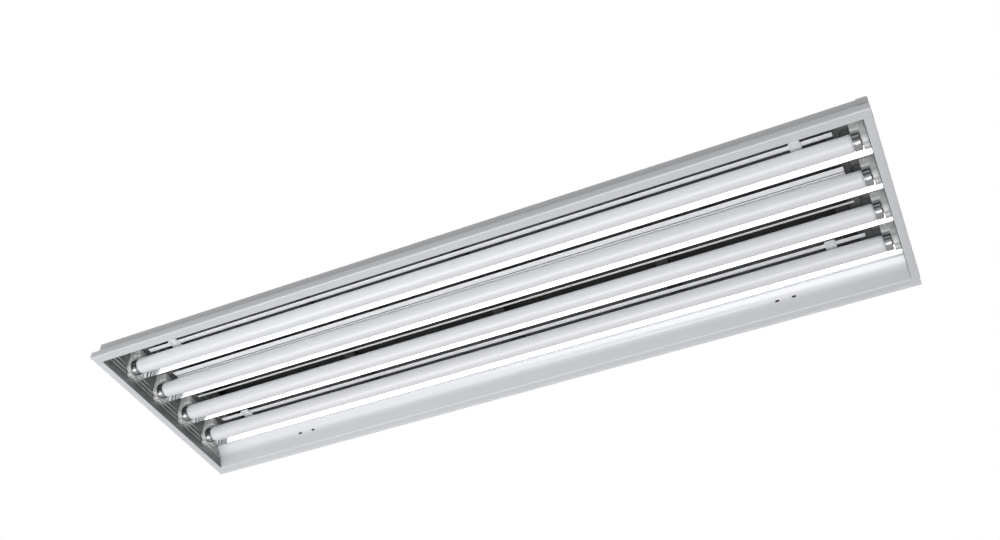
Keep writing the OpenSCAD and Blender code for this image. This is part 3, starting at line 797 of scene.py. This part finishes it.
def holder_rails():
    path = [(PLATE_IN - SHELF_LAP, SHELF_Z), (BAY_END, SHELF_Z)]
    for start in (SHELF_Z + SHEET + RIB_GAP, SHELF_Z + SHEET + RIB_GAP * 2 + RIB_W):
        path += [
            (BAY_END, start), (BAY_END + RIB_DEPTH, start + RIB_DEPTH),
            (BAY_END + RIB_DEPTH, start + RIB_W - RIB_DEPTH), (BAY_END, start + RIB_W)]
    path += [(BAY_END, WEB_JOG_Z), (BAY_END, WEB_TOP), (BAY_END - WEB_FOOT, WEB_TOP)]

    def reach(p):
        for (z0, y0), (z1, y1) in zip(WEB_HALF, WEB_HALF[1:]):
            if z0 <= p.y <= z1:
                half = y0 + (y1 - y0) * (p.y - z0) / (z1 - z0)
                return (-half, half)
        return (-WEB_HALF[-1][1], WEB_HALF[-1][1])

    right = folded("right_rail_web", path, -SHEET, WEB_BENDS, reach, "Y")
    left = twin(right, "left_rail_web", HALF_TURN)
    show(right, "right_holder_rail", "housing", ZINC)
    show(left, "left_holder_rail", "housing", ZINC)


# Reflector tray

RIDGE_FOOT = 12.0
RIDGE_BENDS = (0.5, 0.8, 0.5)
WING_BEND = 0.6
WING_Y = 128.0
# Inner and outer edge of the two strips above each lamp, counted from its axis
STRIP_EDGES = (
    ((-7.6, -16.0), (7.6, 16.0)),
    ((-8.3, -18.3), (-6.5, 18.3)),
    ((-13.2, -17.5), (13.2, 17.5)),
    ((-7.6, -16.0), (7.6, 16.0)))


def reflectors():
    for i, y in enumerate(RIDGE_Y, 1):
        low, high = y - RIDGE_FOOT, y + RIDGE_FOOT
        path = [(low, BAR_Z), (low, STRIP_Z), (y, CREST_Z), (high, STRIP_Z), (high, BAR_Z)]
        ridge = folded(
            f"ridge_sheet_{i}", path, MIRROR, RIDGE_BENDS, (-RIDGE_HALF, RIDGE_HALF))
        show(ridge, f"ridge_reflector_{i}", "housing", MIRROR_SHEET)
        coat_back(ridge, MILL_BACK_AND_PAINTED_SHADE)
    path = [
        (WING_Y, BAR_Z), (WING_Y, STRIP_Z), (CREST_Y, CREST_Z),
        (CREST_Y + CREST_LEDGE, CREST_Z)]
    far = folded("far_wing_sheet", path, MIRROR, WING_BEND, (-RIDGE_HALF, RIDGE_HALF))
    near = twin(far, "near_wing_sheet", HALF_TURN)
    show(far, "far_outer_reflector", "housing", MIRROR_SHEET)
    show(near, "near_outer_reflector", "housing", MIRROR_SHEET)
    coat_back(far, MILL_BACK_AND_PAINTED_SHADE)
    coat_back(near, MILL_BACK_AND_PAINTED_SHADE)
    for i, (y, edges) in enumerate(zip(LAMP_Y, STRIP_EDGES), 1):
        strips = []
        for inner, outer in edges:
            path = [(y + inner, BAR_Z), (y + inner, STRIP_Z), (y + outer, STRIP_Z)]
            thick = math.copysign(MIRROR, outer - inner)
            strips.append(folded("strip", path, thick, SMALL_BEND, (-STRIP_HALF, STRIP_HALF)))
        pair = smooth(join(f"strip_pair_{i}", *strips), SHEET_ANGLE)
        show(pair, f"lamp_strips_{i}", "housing", STRIP_SHEET)
        coat_back(pair, MILL_BACK_AND_PAINTED_SHADE)


BAR_X = (-546.0, -273.0, 0.0, 273.0, 546.0)
BAR_HALF = 10.0
BAR_TOP = BAR_Z + 7.5
HANGER_X = (-409.5, -136.5, 136.5, 409.5)
HANGER_HALF = 8.0


def tray_carriers():
    bars = []
    reach = WING_Y + MIRROR * 2
    for x in BAR_X:
        low, high = x - BAR_HALF, x + BAR_HALF
        path = [(low, BAR_TOP), (low, BAR_Z), (high, BAR_Z), (high, BAR_TOP)]
        bars.append(folded("bar", path, SHEET, BEND, (-reach, reach), "Y"))
    carrier = smooth(join("tray_bar_sheets", *bars), SHEET_ANGLE)
    # The tray bars take zinc darkened as painted shade
    show(carrier, "tray_bars", "housing", PAINTED_SHADE_ZINC)
    hangers = []
    side = RIDGE_FOOT - MIRROR
    foot_z = STRIP_Z + MIRROR
    for y in RIDGE_Y:
        path = [
            (y - side, foot_z), (y - side, CEILING_Z), (y + side, CEILING_Z), (y + side, foot_z)]
        hangers += [
            folded("hanger", path, -SHEET, BEND, (x - HANGER_HALF, x + HANGER_HALF))
            for x in HANGER_X]
    hung = smooth(join("ridge_hanger_sheets", *hangers), SHEET_ANGLE)
    # The hangers take zinc darkened as painted shade
    show(hung, "ridge_hangers", "housing", PAINTED_SHADE_ZINC)


# Lamps

GLASS_R = 13.0
CAP_R = 12.8
CAP_IN = LAMP_HALF - 11.5
PIN_Y = 6.35
# Profiles of radius and length. Those of glass and cap are counted from the cap's inner edge,
# and the face of the cap and the pin from the end of the lamp
GLASS_SHOULDER = ((11.7, -0.3), (12.0, -0.9), (12.6, -1.9), (12.9, -2.9), (GLASS_R, -4.2))
CAP_SHELL = (
    (11.9, 0.5), (CAP_R - 0.25, 0), (CAP_R, 0.3), (CAP_R, 1.8), (CAP_R - 0.1, 2.1),
    (CAP_R - 0.1, 3.1), (CAP_R, 3.4))
CAP_FACE = ((9.6, -0.1), (9.2, -0.5), (0.4, -0.5))
CAP_ROUND = 1.4
PIN = ((1.2, -0.6), (1.2, 6.2), (1.05, 6.7), (0.7, 6.95), (0.15, 7))
GLASS_STOP = LAMP_HALF - 5.5


def lamps():
    half = [(0.2, GLASS_STOP), (11.6, GLASS_STOP)]
    half += [(r, CAP_IN + x) for r, x in GLASS_SHOULDER]
    glass = lathe("glass", half + [(r, -x) for r, x in reversed(half)], 96)
    shell = [(r, CAP_IN + x) for r, x in CAP_SHELL] + [(CAP_R, LAMP_HALF - 1.6)]
    shell += round_points(CAP_ROUND, 7, (CAP_R - CAP_ROUND, LAMP_HALF - 1.5), 0, 80)
    shell += [(r, LAMP_HALF + x) for r, x in CAP_FACE]
    cap = lathe("cap", shell, 96, angle=CAP_ANGLE)
    pin = lathe("pin", [(r, LAMP_HALF + x) for r, x in PIN], 24)
    turned(pin, move(y=PIN_Y))
    pins = join("pins", pin, twin(pin, "pin", Matrix.Scale(-1, 4, (0, 1, 0))))
    for i, y in enumerate(LAMP_Y, 1):
        body = f"lamp_{i}"
        at = move(y=y, z=LAMP_Z)
        tube = twin(glass, f"lamp_glass_{i}", at)
        show(tube, f"lamp_tube_{i}", body, LAMP_WHITE)
        right, left = twin(cap, "cap", at), twin(cap, "cap", at @ HALF_TURN)
        caps = smooth(join(f"lamp_end_caps_{i}", right, left), CAP_ANGLE)
        # The caps take aluminium darkened as a painted dark reflection
        show(caps, f"lamp_caps_{i}", body, CAP_METAL_PAINTED_REFLECTION)
        right, left = twin(pins, "pins", at), twin(pins, "pins", at @ HALF_TURN)
        both = smooth(join(f"contact_pins_{i}", right, left))
        show(both, f"lamp_pins_{i}", body, PIN_METAL)
    for piece in (glass, cap, pins):
        drop(piece)


# Lampholders

HOLDER_R = 10.3
HOLDER_HALF = 9.5
HOLDER_TOP = 30.2
WAIST_HALF = 5.0
TIP_R = 1.6
TIP_AT = (3.4, -14.4)
SHOULDER_FOOT_Z = 8.0
FOOT_X = (588.5, HOLDER_FACE + 1)
FOOT_HALF = 9.0
SEAT_R = 8.05
ENTRY_HALF = 1.6
POCKET_X = (HOLDER_FACE - 1, HOLDER_FACE + 8.3)
WIRE_HOLE_R = 1.2
WIRE_HOLE_AT = ((-4, 26.0), (4, 26.0))
WIRE_HOLE_X = (587, 594)
# The side notches of the foot, by their low and high corners
NOTCHES = (((592, -10, 20), (596, -8.2, 28)), ((592, 8.2, 20), (596, 10, 28)))
ROTOR_R = 8.0
ROTOR_X = (HOLDER_FACE + 0.1, LAMP_HALF + 7.7)
GROOVE_HALF = 1.4
GROOVE_STOP = LAMP_HALF + 7.2


def lampholders():
    shoulder = math.degrees(math.acos(HOLDER_HALF / HOLDER_R))
    waist = math.degrees(math.acos(WAIST_HALF / HOLDER_R))
    side = round_points(TIP_R, 4, TIP_AT, -90, 90)
    side += round_points(HOLDER_R, 12, (0, 0), -waist, waist + shoulder)
    side += [(HOLDER_HALF, SHOULDER_FOOT_Z), (HOLDER_HALF, HOLDER_TOP)]
    outline = side + [(-y, z) for y, z in reversed(side)]
    body = slab("body", outline, HOLDER_FACE, BAY_END, "X")
    soften(body, 0.7, 3)
    foot = block(
        "foot", (FOOT_X[0], -FOOT_HALF, STRIP_Z - LAMP_Z), (FOOT_X[1], FOOT_HALF, HOLDER_TOP))
    soften(foot, 0.8, 3)
    seat = slab("seat", round_points(SEAT_R, 64), *POCKET_X, "X")
    entry = block("entry", (POCKET_X[0], -ENTRY_HALF, -20), (POCKET_X[1], ENTRY_HALF, 0))
    cut_away(body, seat, entry)
    holes = [
        slab("hole", round_points(WIRE_HOLE_R, 16, at), *WIRE_HOLE_X, "X") for at in WIRE_HOLE_AT]
    cut_away(foot, *[block("notch", low, high) for low, high in NOTCHES], *holes)
    holder = smooth(join("holder", body, foot))
    rotor = slab("rotor", round_points(ROTOR_R, 64), *ROTOR_X, "X")
    soften(rotor, 0.3)
    groove = block(
        "groove", (POCKET_X[0], -FOOT_HALF, -GROOVE_HALF), (GROOVE_STOP, FOOT_HALF, GROOVE_HALF))
    cut_away(rotor, groove)
    smooth(rotor)
    for i, y in enumerate(LAMP_Y, 1):
        at = move(y=y, z=LAMP_Z)
        right = twin(holder, f"right_holder_{i}", at)
        left = twin(holder, f"left_holder_{i}", at @ OTHER_END)
        show(right, f"right_lampholder_{i}", "housing", HOLDER_WHITE)
        show(left, f"left_lampholder_{i}", "housing", HOLDER_WHITE)
        ends = [twin(rotor, "rotor", at), twin(rotor, "rotor", at @ HALF_TURN)]
        pair = smooth(join(f"rotor_pair_{i}", *ends))
        show(pair, f"rotors_{i}", f"lamp_{i}", HOLDER_WHITE)
    drop(holder)
    drop(rotor)


# Turn buttons

BUTTON_PLACES = [(x, y) for y in (LAMP_Y[0], LAMP_Y[-1]) for x in (-BUTTON_X, BUTTON_X)]
BUTTON_HALF = (8.25, 21.0)
BUTTON_CORNER = 3.0
BUTTON_TOP = 1.6
# The rim's outer and inner edge, as shares of the button's outline
RIM_SHARE = (0.96, 0.985)
WELL_SHARE = (0.74, 0.9)
RELIEF_TOP = 1.2
BOSS_R = 5.4
BOSS_CLEAR_R = 5.2
RIB_HALF = (0.7, 18.0)
RIB_FOOT = 0.3
RIB_LEAN = 15
STUD_HOLE_R = 2.55
STUD_R = 2.5
STUD_HEAD_R = 4.0
STUD_NUT = 9
STUD_NUT_H = 3
STUD_FOOT = BUTTON_Z - 0.8
# Half length and half width of the cross recess
RECESS = (2.2, 0.45)


def scaled(outline, share):
    return [(x * share[0], y * share[1]) for x, y in outline]


def turn_buttons():
    far_x, far_y = (half - BUTTON_CORNER for half in BUTTON_HALF)
    outline = []
    for k, (sx, sy) in enumerate(((1, 1), (-1, 1), (-1, -1), (1, -1))):
        outline += round_points(BUTTON_CORNER, 5, (sx * far_x, sy * far_y), 90 * k, 90)
    plate = slab("plate", outline, 1.0, BUTTON_TOP, "Z")
    soften(plate, 0.2)
    rim = slab("rim", scaled(outline, RIM_SHARE), 0, RELIEF_TOP, "Z")
    soften(rim, 0.35)
    cut_away(rim, slab("well", scaled(outline, WELL_SHARE), -1, RELIEF_TOP + 0.1, "Z"))
    boss = slab("boss", round_points(BOSS_R, 48), 0, RELIEF_TOP, "Z")
    soften(boss, 0.35)
    ribs = []
    for lean in (-RIB_LEAN, RIB_LEAN):
        rib = block(
            "rib", (-RIB_HALF[0], -RIB_HALF[1], RIB_FOOT), (*RIB_HALF, RELIEF_TOP))
        soften(rib, 0.25)
        turned(rib, Matrix.Rotation(math.radians(lean), 4, "Z"))
        cut_away(rib, slab("middle", round_points(BOSS_CLEAR_R, 32), -1, 3, "Z"))
        ribs.append(rib)
    for layer in (plate, boss):
        cut_away(layer, slab("hole", round_points(STUD_HOLE_R, 48), -1, 3, "Z"))
    button = smooth(join("button", plate, rim, boss, *ribs))
    for i, (x, y) in enumerate(BUTTON_PLACES, 1):
        made = twin(button, f"swing_button_{i}", move(x, y, BUTTON_Z))
        show(made, f"turn_button_{i}", f"button_{i}", BUTTON_WHITE)
    drop(button)
    stud = stack(
        "stud", (round_points(STUD_HEAD_R, 48), STUD_FOOT, BUTTON_Z - 0.15, 0.25),
        (round_points(STUD_R, 32), STUD_FOOT + 0.2, CEILING_Z, 0.0),
        (hexagon(STUD_NUT), CEILING_Z - STUD_NUT_H, CEILING_Z, 0.3))
    long, thin = RECESS
    cut_away(stud, *[
        block("arm", (-x, -y, STUD_FOOT - 1), (x, y, STUD_FOOT + 0.4))
        for x, y in ((long, thin), (thin, long))])
    studs = [twin(stud, "stud", move(x, y)) for x, y in BUTTON_PLACES]
    drop(stud)
    made = smooth(join("swing_studs", *studs))
    show(made, "button_studs", "housing", PLATED)


# Ballast channel and what it holds

INLET_Z = 77.1
CHANNEL_SIDE = 63.0
CHANNEL_FOOT_Y = 75.0
CHANNEL_BENDS = (0.6, 1.0, 1.0, 0.6)
CHANNEL_CORNER = 2.0
HANGER_HOLE_R = 3.55
HANGER_HOLE_AT = (457.2, 38.1)
KNOCKOUT_R = 11.1
KNOCKOUT_X = (-300, 0, 300)
SCORE_W = 0.5
SCORE_DEPTH = 0.3


def scored_ring(radius, centre, axis, face):
    """A cutter for the scored line round a knockout in an outer face."""
    low, high = face - SCORE_DEPTH, face + 1
    ring = slab("ring", round_points(radius, 48, centre), low, high, axis)
    inside = slab("inside", round_points(radius - SCORE_W, 48, centre), low - 1, high + 1, axis)
    return cut_away(ring, inside)


def channel():
    side = CHANNEL_SIDE - SHEET
    path = [
        (-CHANNEL_FOOT_Y, ROOF_Z), (-side, ROOF_Z), (-side, BALLAST_Z), (side, BALLAST_Z),
        (side, ROOF_Z), (CHANNEL_FOOT_Y, ROOF_Z)]
    hat = folded("hat", path, SHEET, CHANNEL_BENDS, (-CHANNEL_HALF, CHANNEL_HALF))
    hole_x, hole_y = HANGER_HOLE_AT
    holes = [
        slab("hole", round_points(HANGER_HOLE_R, 40, (sx * hole_x, sy * hole_y)), 90, 96, "Z")
        for sx in (-1, 1) for sy in (-1, 1)]
    holes += [scored_ring(KNOCKOUT_R, (x, 0), "Z", CHANNEL_Z) for x in KNOCKOUT_X]
    cut_away(hat, *holes)
    corner, top = CHANNEL_CORNER, CHANNEL_Z - CHANNEL_CORNER
    end = [(-CHANNEL_SIDE, ROOF_Z), (CHANNEL_SIDE, ROOF_Z)]
    end += round_points(corner, 5, (CHANNEL_SIDE - corner, top), 0, 90)
    end += round_points(corner, 5, (corner - CHANNEL_SIDE, top), 90, 90)
    right = slab("end", end, CHANNEL_HALF - SHEET, CHANNEL_HALF, "X")
    soften(right, 0.2)
    left = twin(right, "end", HALF_TURN)
    inlet = round_points(KNOCKOUT_R, 64, (0, INLET_Z))
    cut_away(left, slab("inlet", inlet, -CHANNEL_HALF - 5, 5 - CHANNEL_HALF, "X"))
    cut_away(right, scored_ring(KNOCKOUT_R, (0, INLET_Z), "X", CHANNEL_HALF))
    whole = smooth(join("channel_sheet", hat, right, left), SHEET_ANGLE)
    show(whole, "ballast_channel", "housing", PAINT)
    # The channel's inside faces get painted shade
    coat_inside(whole, PAINTED_SHADE_INSIDE)


BALLAST_X = 230.0
CASE_HALF = (106.5, 21.5)
CASE_LOW = BALLAST_Z - 28
CASE_GROOVE_X = (-98, 98)
BALLAST_TAB_HALF = 120.5
BALLAST_TAB_LOW = BALLAST_Z - 1.2
BALLAST_STUD_X = 113.5
BALLAST_HOLE_R = 2.25
SCREW_R = 2.0
SCREW_NUT = 8


def ballasts():
    length, width = CASE_HALF
    case = block("case", (-length, -width, CASE_LOW), (length, width, BALLAST_Z))
    soften(case, 1.4, 3)
    grooves = [
        block("groove", (x - 0.6, -30, CASE_LOW - 12), (x + 0.6, 30, CASE_LOW + 0.6))
        for x in CASE_GROOVE_X]
    cut_away(case, *grooves)
    tab = block(
        "tab", (-BALLAST_TAB_HALF, -width, BALLAST_TAB_LOW), (BALLAST_TAB_HALF, width, BALLAST_Z))
    soften(tab, 0.3)
    holes = [
        slab("hole", round_points(BALLAST_HOLE_R, 32, (side * BALLAST_STUD_X, 0)), 85, 96, "Z")
        for side in (-1, 1)]
    cut_away(tab, *holes)
    whole = smooth(join("ballast_case", case, tab))
    for side, end in ((-1, "left"), (1, "right")):
        made = twin(whole, f"{end}_ballast_case", move(side * BALLAST_X))
        show(made, f"{end}_ballast", "housing", BALLAST_PAINT)
    drop(whole)
    stud = stack(
        "stud", (round_points(SCREW_R, 32), BALLAST_Z - 8, BALLAST_Z, 0.3),
        (hexagon(SCREW_NUT), BALLAST_Z - 4.4, BALLAST_TAB_LOW, 0.35))
    places = [side * BALLAST_X + e * BALLAST_STUD_X for side in (-1, 1) for e in (-1, 1)]
    studs = [twin(stud, "stud", move(x)) for x in places]
    drop(stud)
    made = smooth(join("ballast_nuts", *studs))
    show(made, "ballast_studs", "housing", PLATED)


BLOCK_X = -520.0
BLOCK_HALF = (15, 11)
BLOCK_LOW = BALLAST_Z - 16
WAY_Y = (-5.5, 0.0, 5.5)
WAY_R = 2
WAY_Z = BALLAST_Z - 8
WAY_GAP_Y = (-2.75, 2.75)
WAY_GAP_HALF = 0.4
WELL_R = 1.8
WELL_X = (-8, 6)
EARTH_SCREW_AT = (-490, -21.5)
# Radius and length of the bushing, counted from the channel's end inwards
BUSHING = (
    (7.0, -1.4), (7.6, -2.0), (13.2, -2.0), (13.8, -1.6), (14.0, -1.0), (13.8, -0.2),
    (13.2, 0), (11.0, 0), (11.0, 4.2), (11.0, 5.4), (10.2, 7.0), (7.0, 7.0))


def supply_end():
    length, width = BLOCK_HALF
    body = block(
        "body", (BLOCK_X - length, -width, BLOCK_LOW), (BLOCK_X + length, width, BALLAST_Z))
    soften(body, 0.8, 3)
    cuts = []
    for y in WAY_Y:
        way = round_points(WAY_R, 32, (y, WAY_Z))
        cuts.append(slab("way", way, BLOCK_X - 16, BLOCK_X - 7, "X"))
        for x in WELL_X:
            well = round_points(WELL_R, 24, (BLOCK_X + x, y))
            cuts.append(slab("well", well, BLOCK_LOW - 1, BLOCK_LOW + 3, "Z"))
    for y in WAY_GAP_Y:
        cuts.append(block(
            "gap", (BLOCK_X - 20, y - WAY_GAP_HALF, 70),
            (BLOCK_X + 20, y + WAY_GAP_HALF, BLOCK_LOW + 2)))
    cut_away(body, *cuts)
    smooth(body)
    body.name = "connector_block"
    show(body, "terminal_block", "housing", HOLDER_WHITE)
    bushing = lathe("inlet_bushing", BUSHING, 64, closed=True)
    turned(bushing, move(-CHANNEL_HALF, 0, INLET_Z))
    show(bushing, "supply_bushing", "housing", BLACK_MOULDING)
    screw = stack(
        "earth_screw", (round_points(SCREW_R, 32), BALLAST_Z - 8, BALLAST_Z, 0.3),
        (hexagon(SCREW_NUT), BALLAST_Z - 3.2, BALLAST_Z, 0.4))
    turned(screw, move(*EARTH_SCREW_AT))
    show(screw, "ground_screw", "housing", GREEN_PAINT)


PAN_SCREW_X = (616.6, 598.85)
PAN_SCREW_Y = (-122.0, 0.0, 122.0)
PAN_SCREW_PLACES = [(side * x, y) for side in (-1, 1) for x in PAN_SCREW_X for y in PAN_SCREW_Y]
PAN_SCREW_TOP = ROOF_Z + 2.4
WASHER_R = 4.45
PAN_SCREW_HEAD = 7.2


def screws():
    screw = stack(
        "screw", (round_points(SCREW_R, 24), ROOF_Z - 6, ROOF_Z + 1, 0.3),
        (round_points(WASHER_R, 48), ROOF_Z, ROOF_Z + 0.8, 0.3),
        (hexagon(PAN_SCREW_HEAD), ROOF_Z + 0.5, PAN_SCREW_TOP, 0.35))
    made = [twin(screw, "screw", move(x, y)) for x, y in PAN_SCREW_PLACES]
    drop(screw)
    whole = smooth(join("roof_screws", *made))
    show(whole, "pan_screws", "housing", PLATED)


WIRE_R = 0.9
WIRE_Z = 59.8
LEAD_Z = 79.1
LEAD_GAP = 2.4
LAMP_PITCH = 70
# Along the light: a ballast's outer end and its leads' first bend, the bend down to the roof
# plane, the crossing behind the lampholders and the leads' ends in the holders
BALLAST_END_X = 336.5
BALLAST_BEND_X = 364.5
DOWN_X = 532
CROSS_X = 578.5
HOLDER_END = (588.5, 58.4)
# The supply leads: ends in the terminal block, the bend before the near ballast, the reach of
# the two that pass beside it, and their end in the far ballast
BLOCK_END_X = -505
NEAR_BEND_X = -378.5
NEAR_ENTRY_Y = 10.75
PASS_Y = 25.1
FAR_ENTRY_X = (109.5, 123.5)


def wires():
    leads = []
    for y in LAMP_Y:
        start_y = y / LAMP_PITCH * LEAD_GAP
        cross_x = CROSS_X - abs(y) / LAMP_PITCH * LEAD_GAP
        leads.append(swept("lead", [
            (BALLAST_END_X, start_y, LEAD_Z), (BALLAST_BEND_X, start_y, LEAD_Z),
            (DOWN_X, start_y, WIRE_Z), (cross_x, start_y, WIRE_Z), (cross_x, y, WIRE_Z),
            (HOLDER_END[0], y, HOLDER_END[1])], WIRE_R))
    right = smooth(join("right_lead_set", *leads), LEAD_ANGLE)
    left = twin(right, "left_lead_set", HALF_TURN)
    show(right, "right_wiring", "housing", BLACK_SLEEVE)
    show(left, "left_wiring", "housing", BLACK_SLEEVE)
    supply = [
        swept("lead", [
            (BLOCK_END_X, y, WAY_Z), (NEAR_BEND_X, y, WAY_Z),
            (-BALLAST_BEND_X, y + NEAR_ENTRY_Y, LEAD_Z),
            (-BALLAST_END_X, y + NEAR_ENTRY_Y, LEAD_Z)], WIRE_R)
        for y in (LEAD_GAP, LEAD_GAP * 2)]
    far_bend_x, far_end_x = FAR_ENTRY_X
    for y in (-LEAD_GAP, 0):
        aside = y - PASS_Y
        supply.append(swept("lead", [
            (BLOCK_END_X, y, WAY_Z), (-BALLAST_BEND_X + y, y, WAY_Z),
            (PASS_Y - BALLAST_BEND_X + y, aside, WAY_Z), (far_bend_x - PASS_Y - y, aside, WAY_Z),
            (far_bend_x - y, y, LEAD_Z), (far_end_x, y, LEAD_Z)], WIRE_R))
    made = smooth(join("supply_lead_set", *supply), LEAD_ANGLE)
    show(made, "supply_wiring", "housing", BLACK_SLEEVE)


side_rails()
top_pan()
end_plates()
holder_rails()
reflectors()
lamps()
lampholders()
turn_buttons()
tray_carriers()
channel()
ballasts()
supply_end()
screws()
wires()


# Studio, in metres

FLOOR_Z = -4.0
FLOOR_HALF = 30.0
FLOOR_GREY = (0.7, 0.7, 0.7, 1)
FLOOR_ROUGH = 0.9
FLOOR_GLOW = 0.85
AMBIENT = 0.2
WHITE = (1, 1, 1, 1)
# Each light's name, place, size and power in watts. All of them point at the light's middle
LIGHTS = (
    ("soft_key", (-0.4, -1.05, -2.0), (3.4, 1.15), 43.0),
    ("top_fill", (0.0, 0.3, 2.5), (3.0, 2.0), 34.0),
    ("far_fill", (0.3, 2.4, 0.6), (3.0, 1.2), 18.0))


def seen_rays(tree):
    """1 for the rays that show the background: the camera's, and those of metal and glass."""
    rays = tree.nodes.new("ShaderNodeLightPath")
    seen = rays.outputs["Is Camera Ray"]
    for title in ("Is Glossy Ray", "Is Transmission Ray"):
        most = node(tree, "ShaderNodeMath", operation="MAXIMUM")
        tree.links.new(seen, most.inputs[0])
        tree.links.new(rays.outputs[title], most.inputs[1])
        seen = most.outputs["Value"]
    return seen


def ray_level(tree, unseen, shown):
    """One strength for the rays that show the background and another for the rest."""
    level = node(tree, "ShaderNodeMapRange")
    level.inputs["To Min"].default_value = unseen
    level.inputs["To Max"].default_value = shown
    tree.links.new(seen_rays(tree), level.inputs["Value"])
    return level.outputs["Result"]


def soft_light(name, at, size, energy):
    lamp = bpy.data.lights.new(name, "AREA")
    lamp.shape = "RECTANGLE"
    lamp.size, lamp.size_y = size
    lamp.energy = energy
    light = bpy.data.objects.new(name, lamp)
    light.location = at
    light.rotation_euler = Vector(at).to_track_quat("Z", "Y").to_euler()
    light.visible_camera = False
    bpy.context.scene.collection.objects.link(light)


def pale_floor():
    h = FLOOR_HALF
    mesh = bpy.data.meshes.new("floor")
    mesh.from_pydata([(-h, -h, 0), (h, -h, 0), (h, h, 0), (-h, h, 0)], [], [(0, 1, 2, 3)])
    floor = bpy.data.objects.new("floor", mesh)
    floor.location = (0, 0, FLOOR_Z)
    bpy.context.scene.collection.objects.link(floor)
    pale = bpy.data.materials.new("pale_floor")
    pale.use_nodes = True
    tree = pale.node_tree
    shader = tree.nodes["Principled BSDF"]
    shader.inputs["Base Color"].default_value = FLOOR_GREY
    shader.inputs["Roughness"].default_value = FLOOR_ROUGH
    shader.inputs["Specular IOR Level"].default_value = 0.0
    shader.inputs["Emission Color"].default_value = WHITE
    tree.links.new(ray_level(tree, 0.0, FLOOR_GLOW), shader.inputs["Emission Strength"])
    mesh.materials.append(pale)


def white_world():
    world = bpy.data.worlds.new("studio")
    bpy.context.scene.world = world
    world.use_nodes = True
    tree = world.node_tree
    back = tree.nodes["Background"]
    back.inputs["Color"].default_value = WHITE
    tree.links.new(ray_level(tree, AMBIENT, 1.0), back.inputs["Strength"])


pale_floor()
white_world()
for light_row in LIGHTS:
    soft_light(*light_row)
bpy.context.scene.view_settings.view_transform = "Standard"
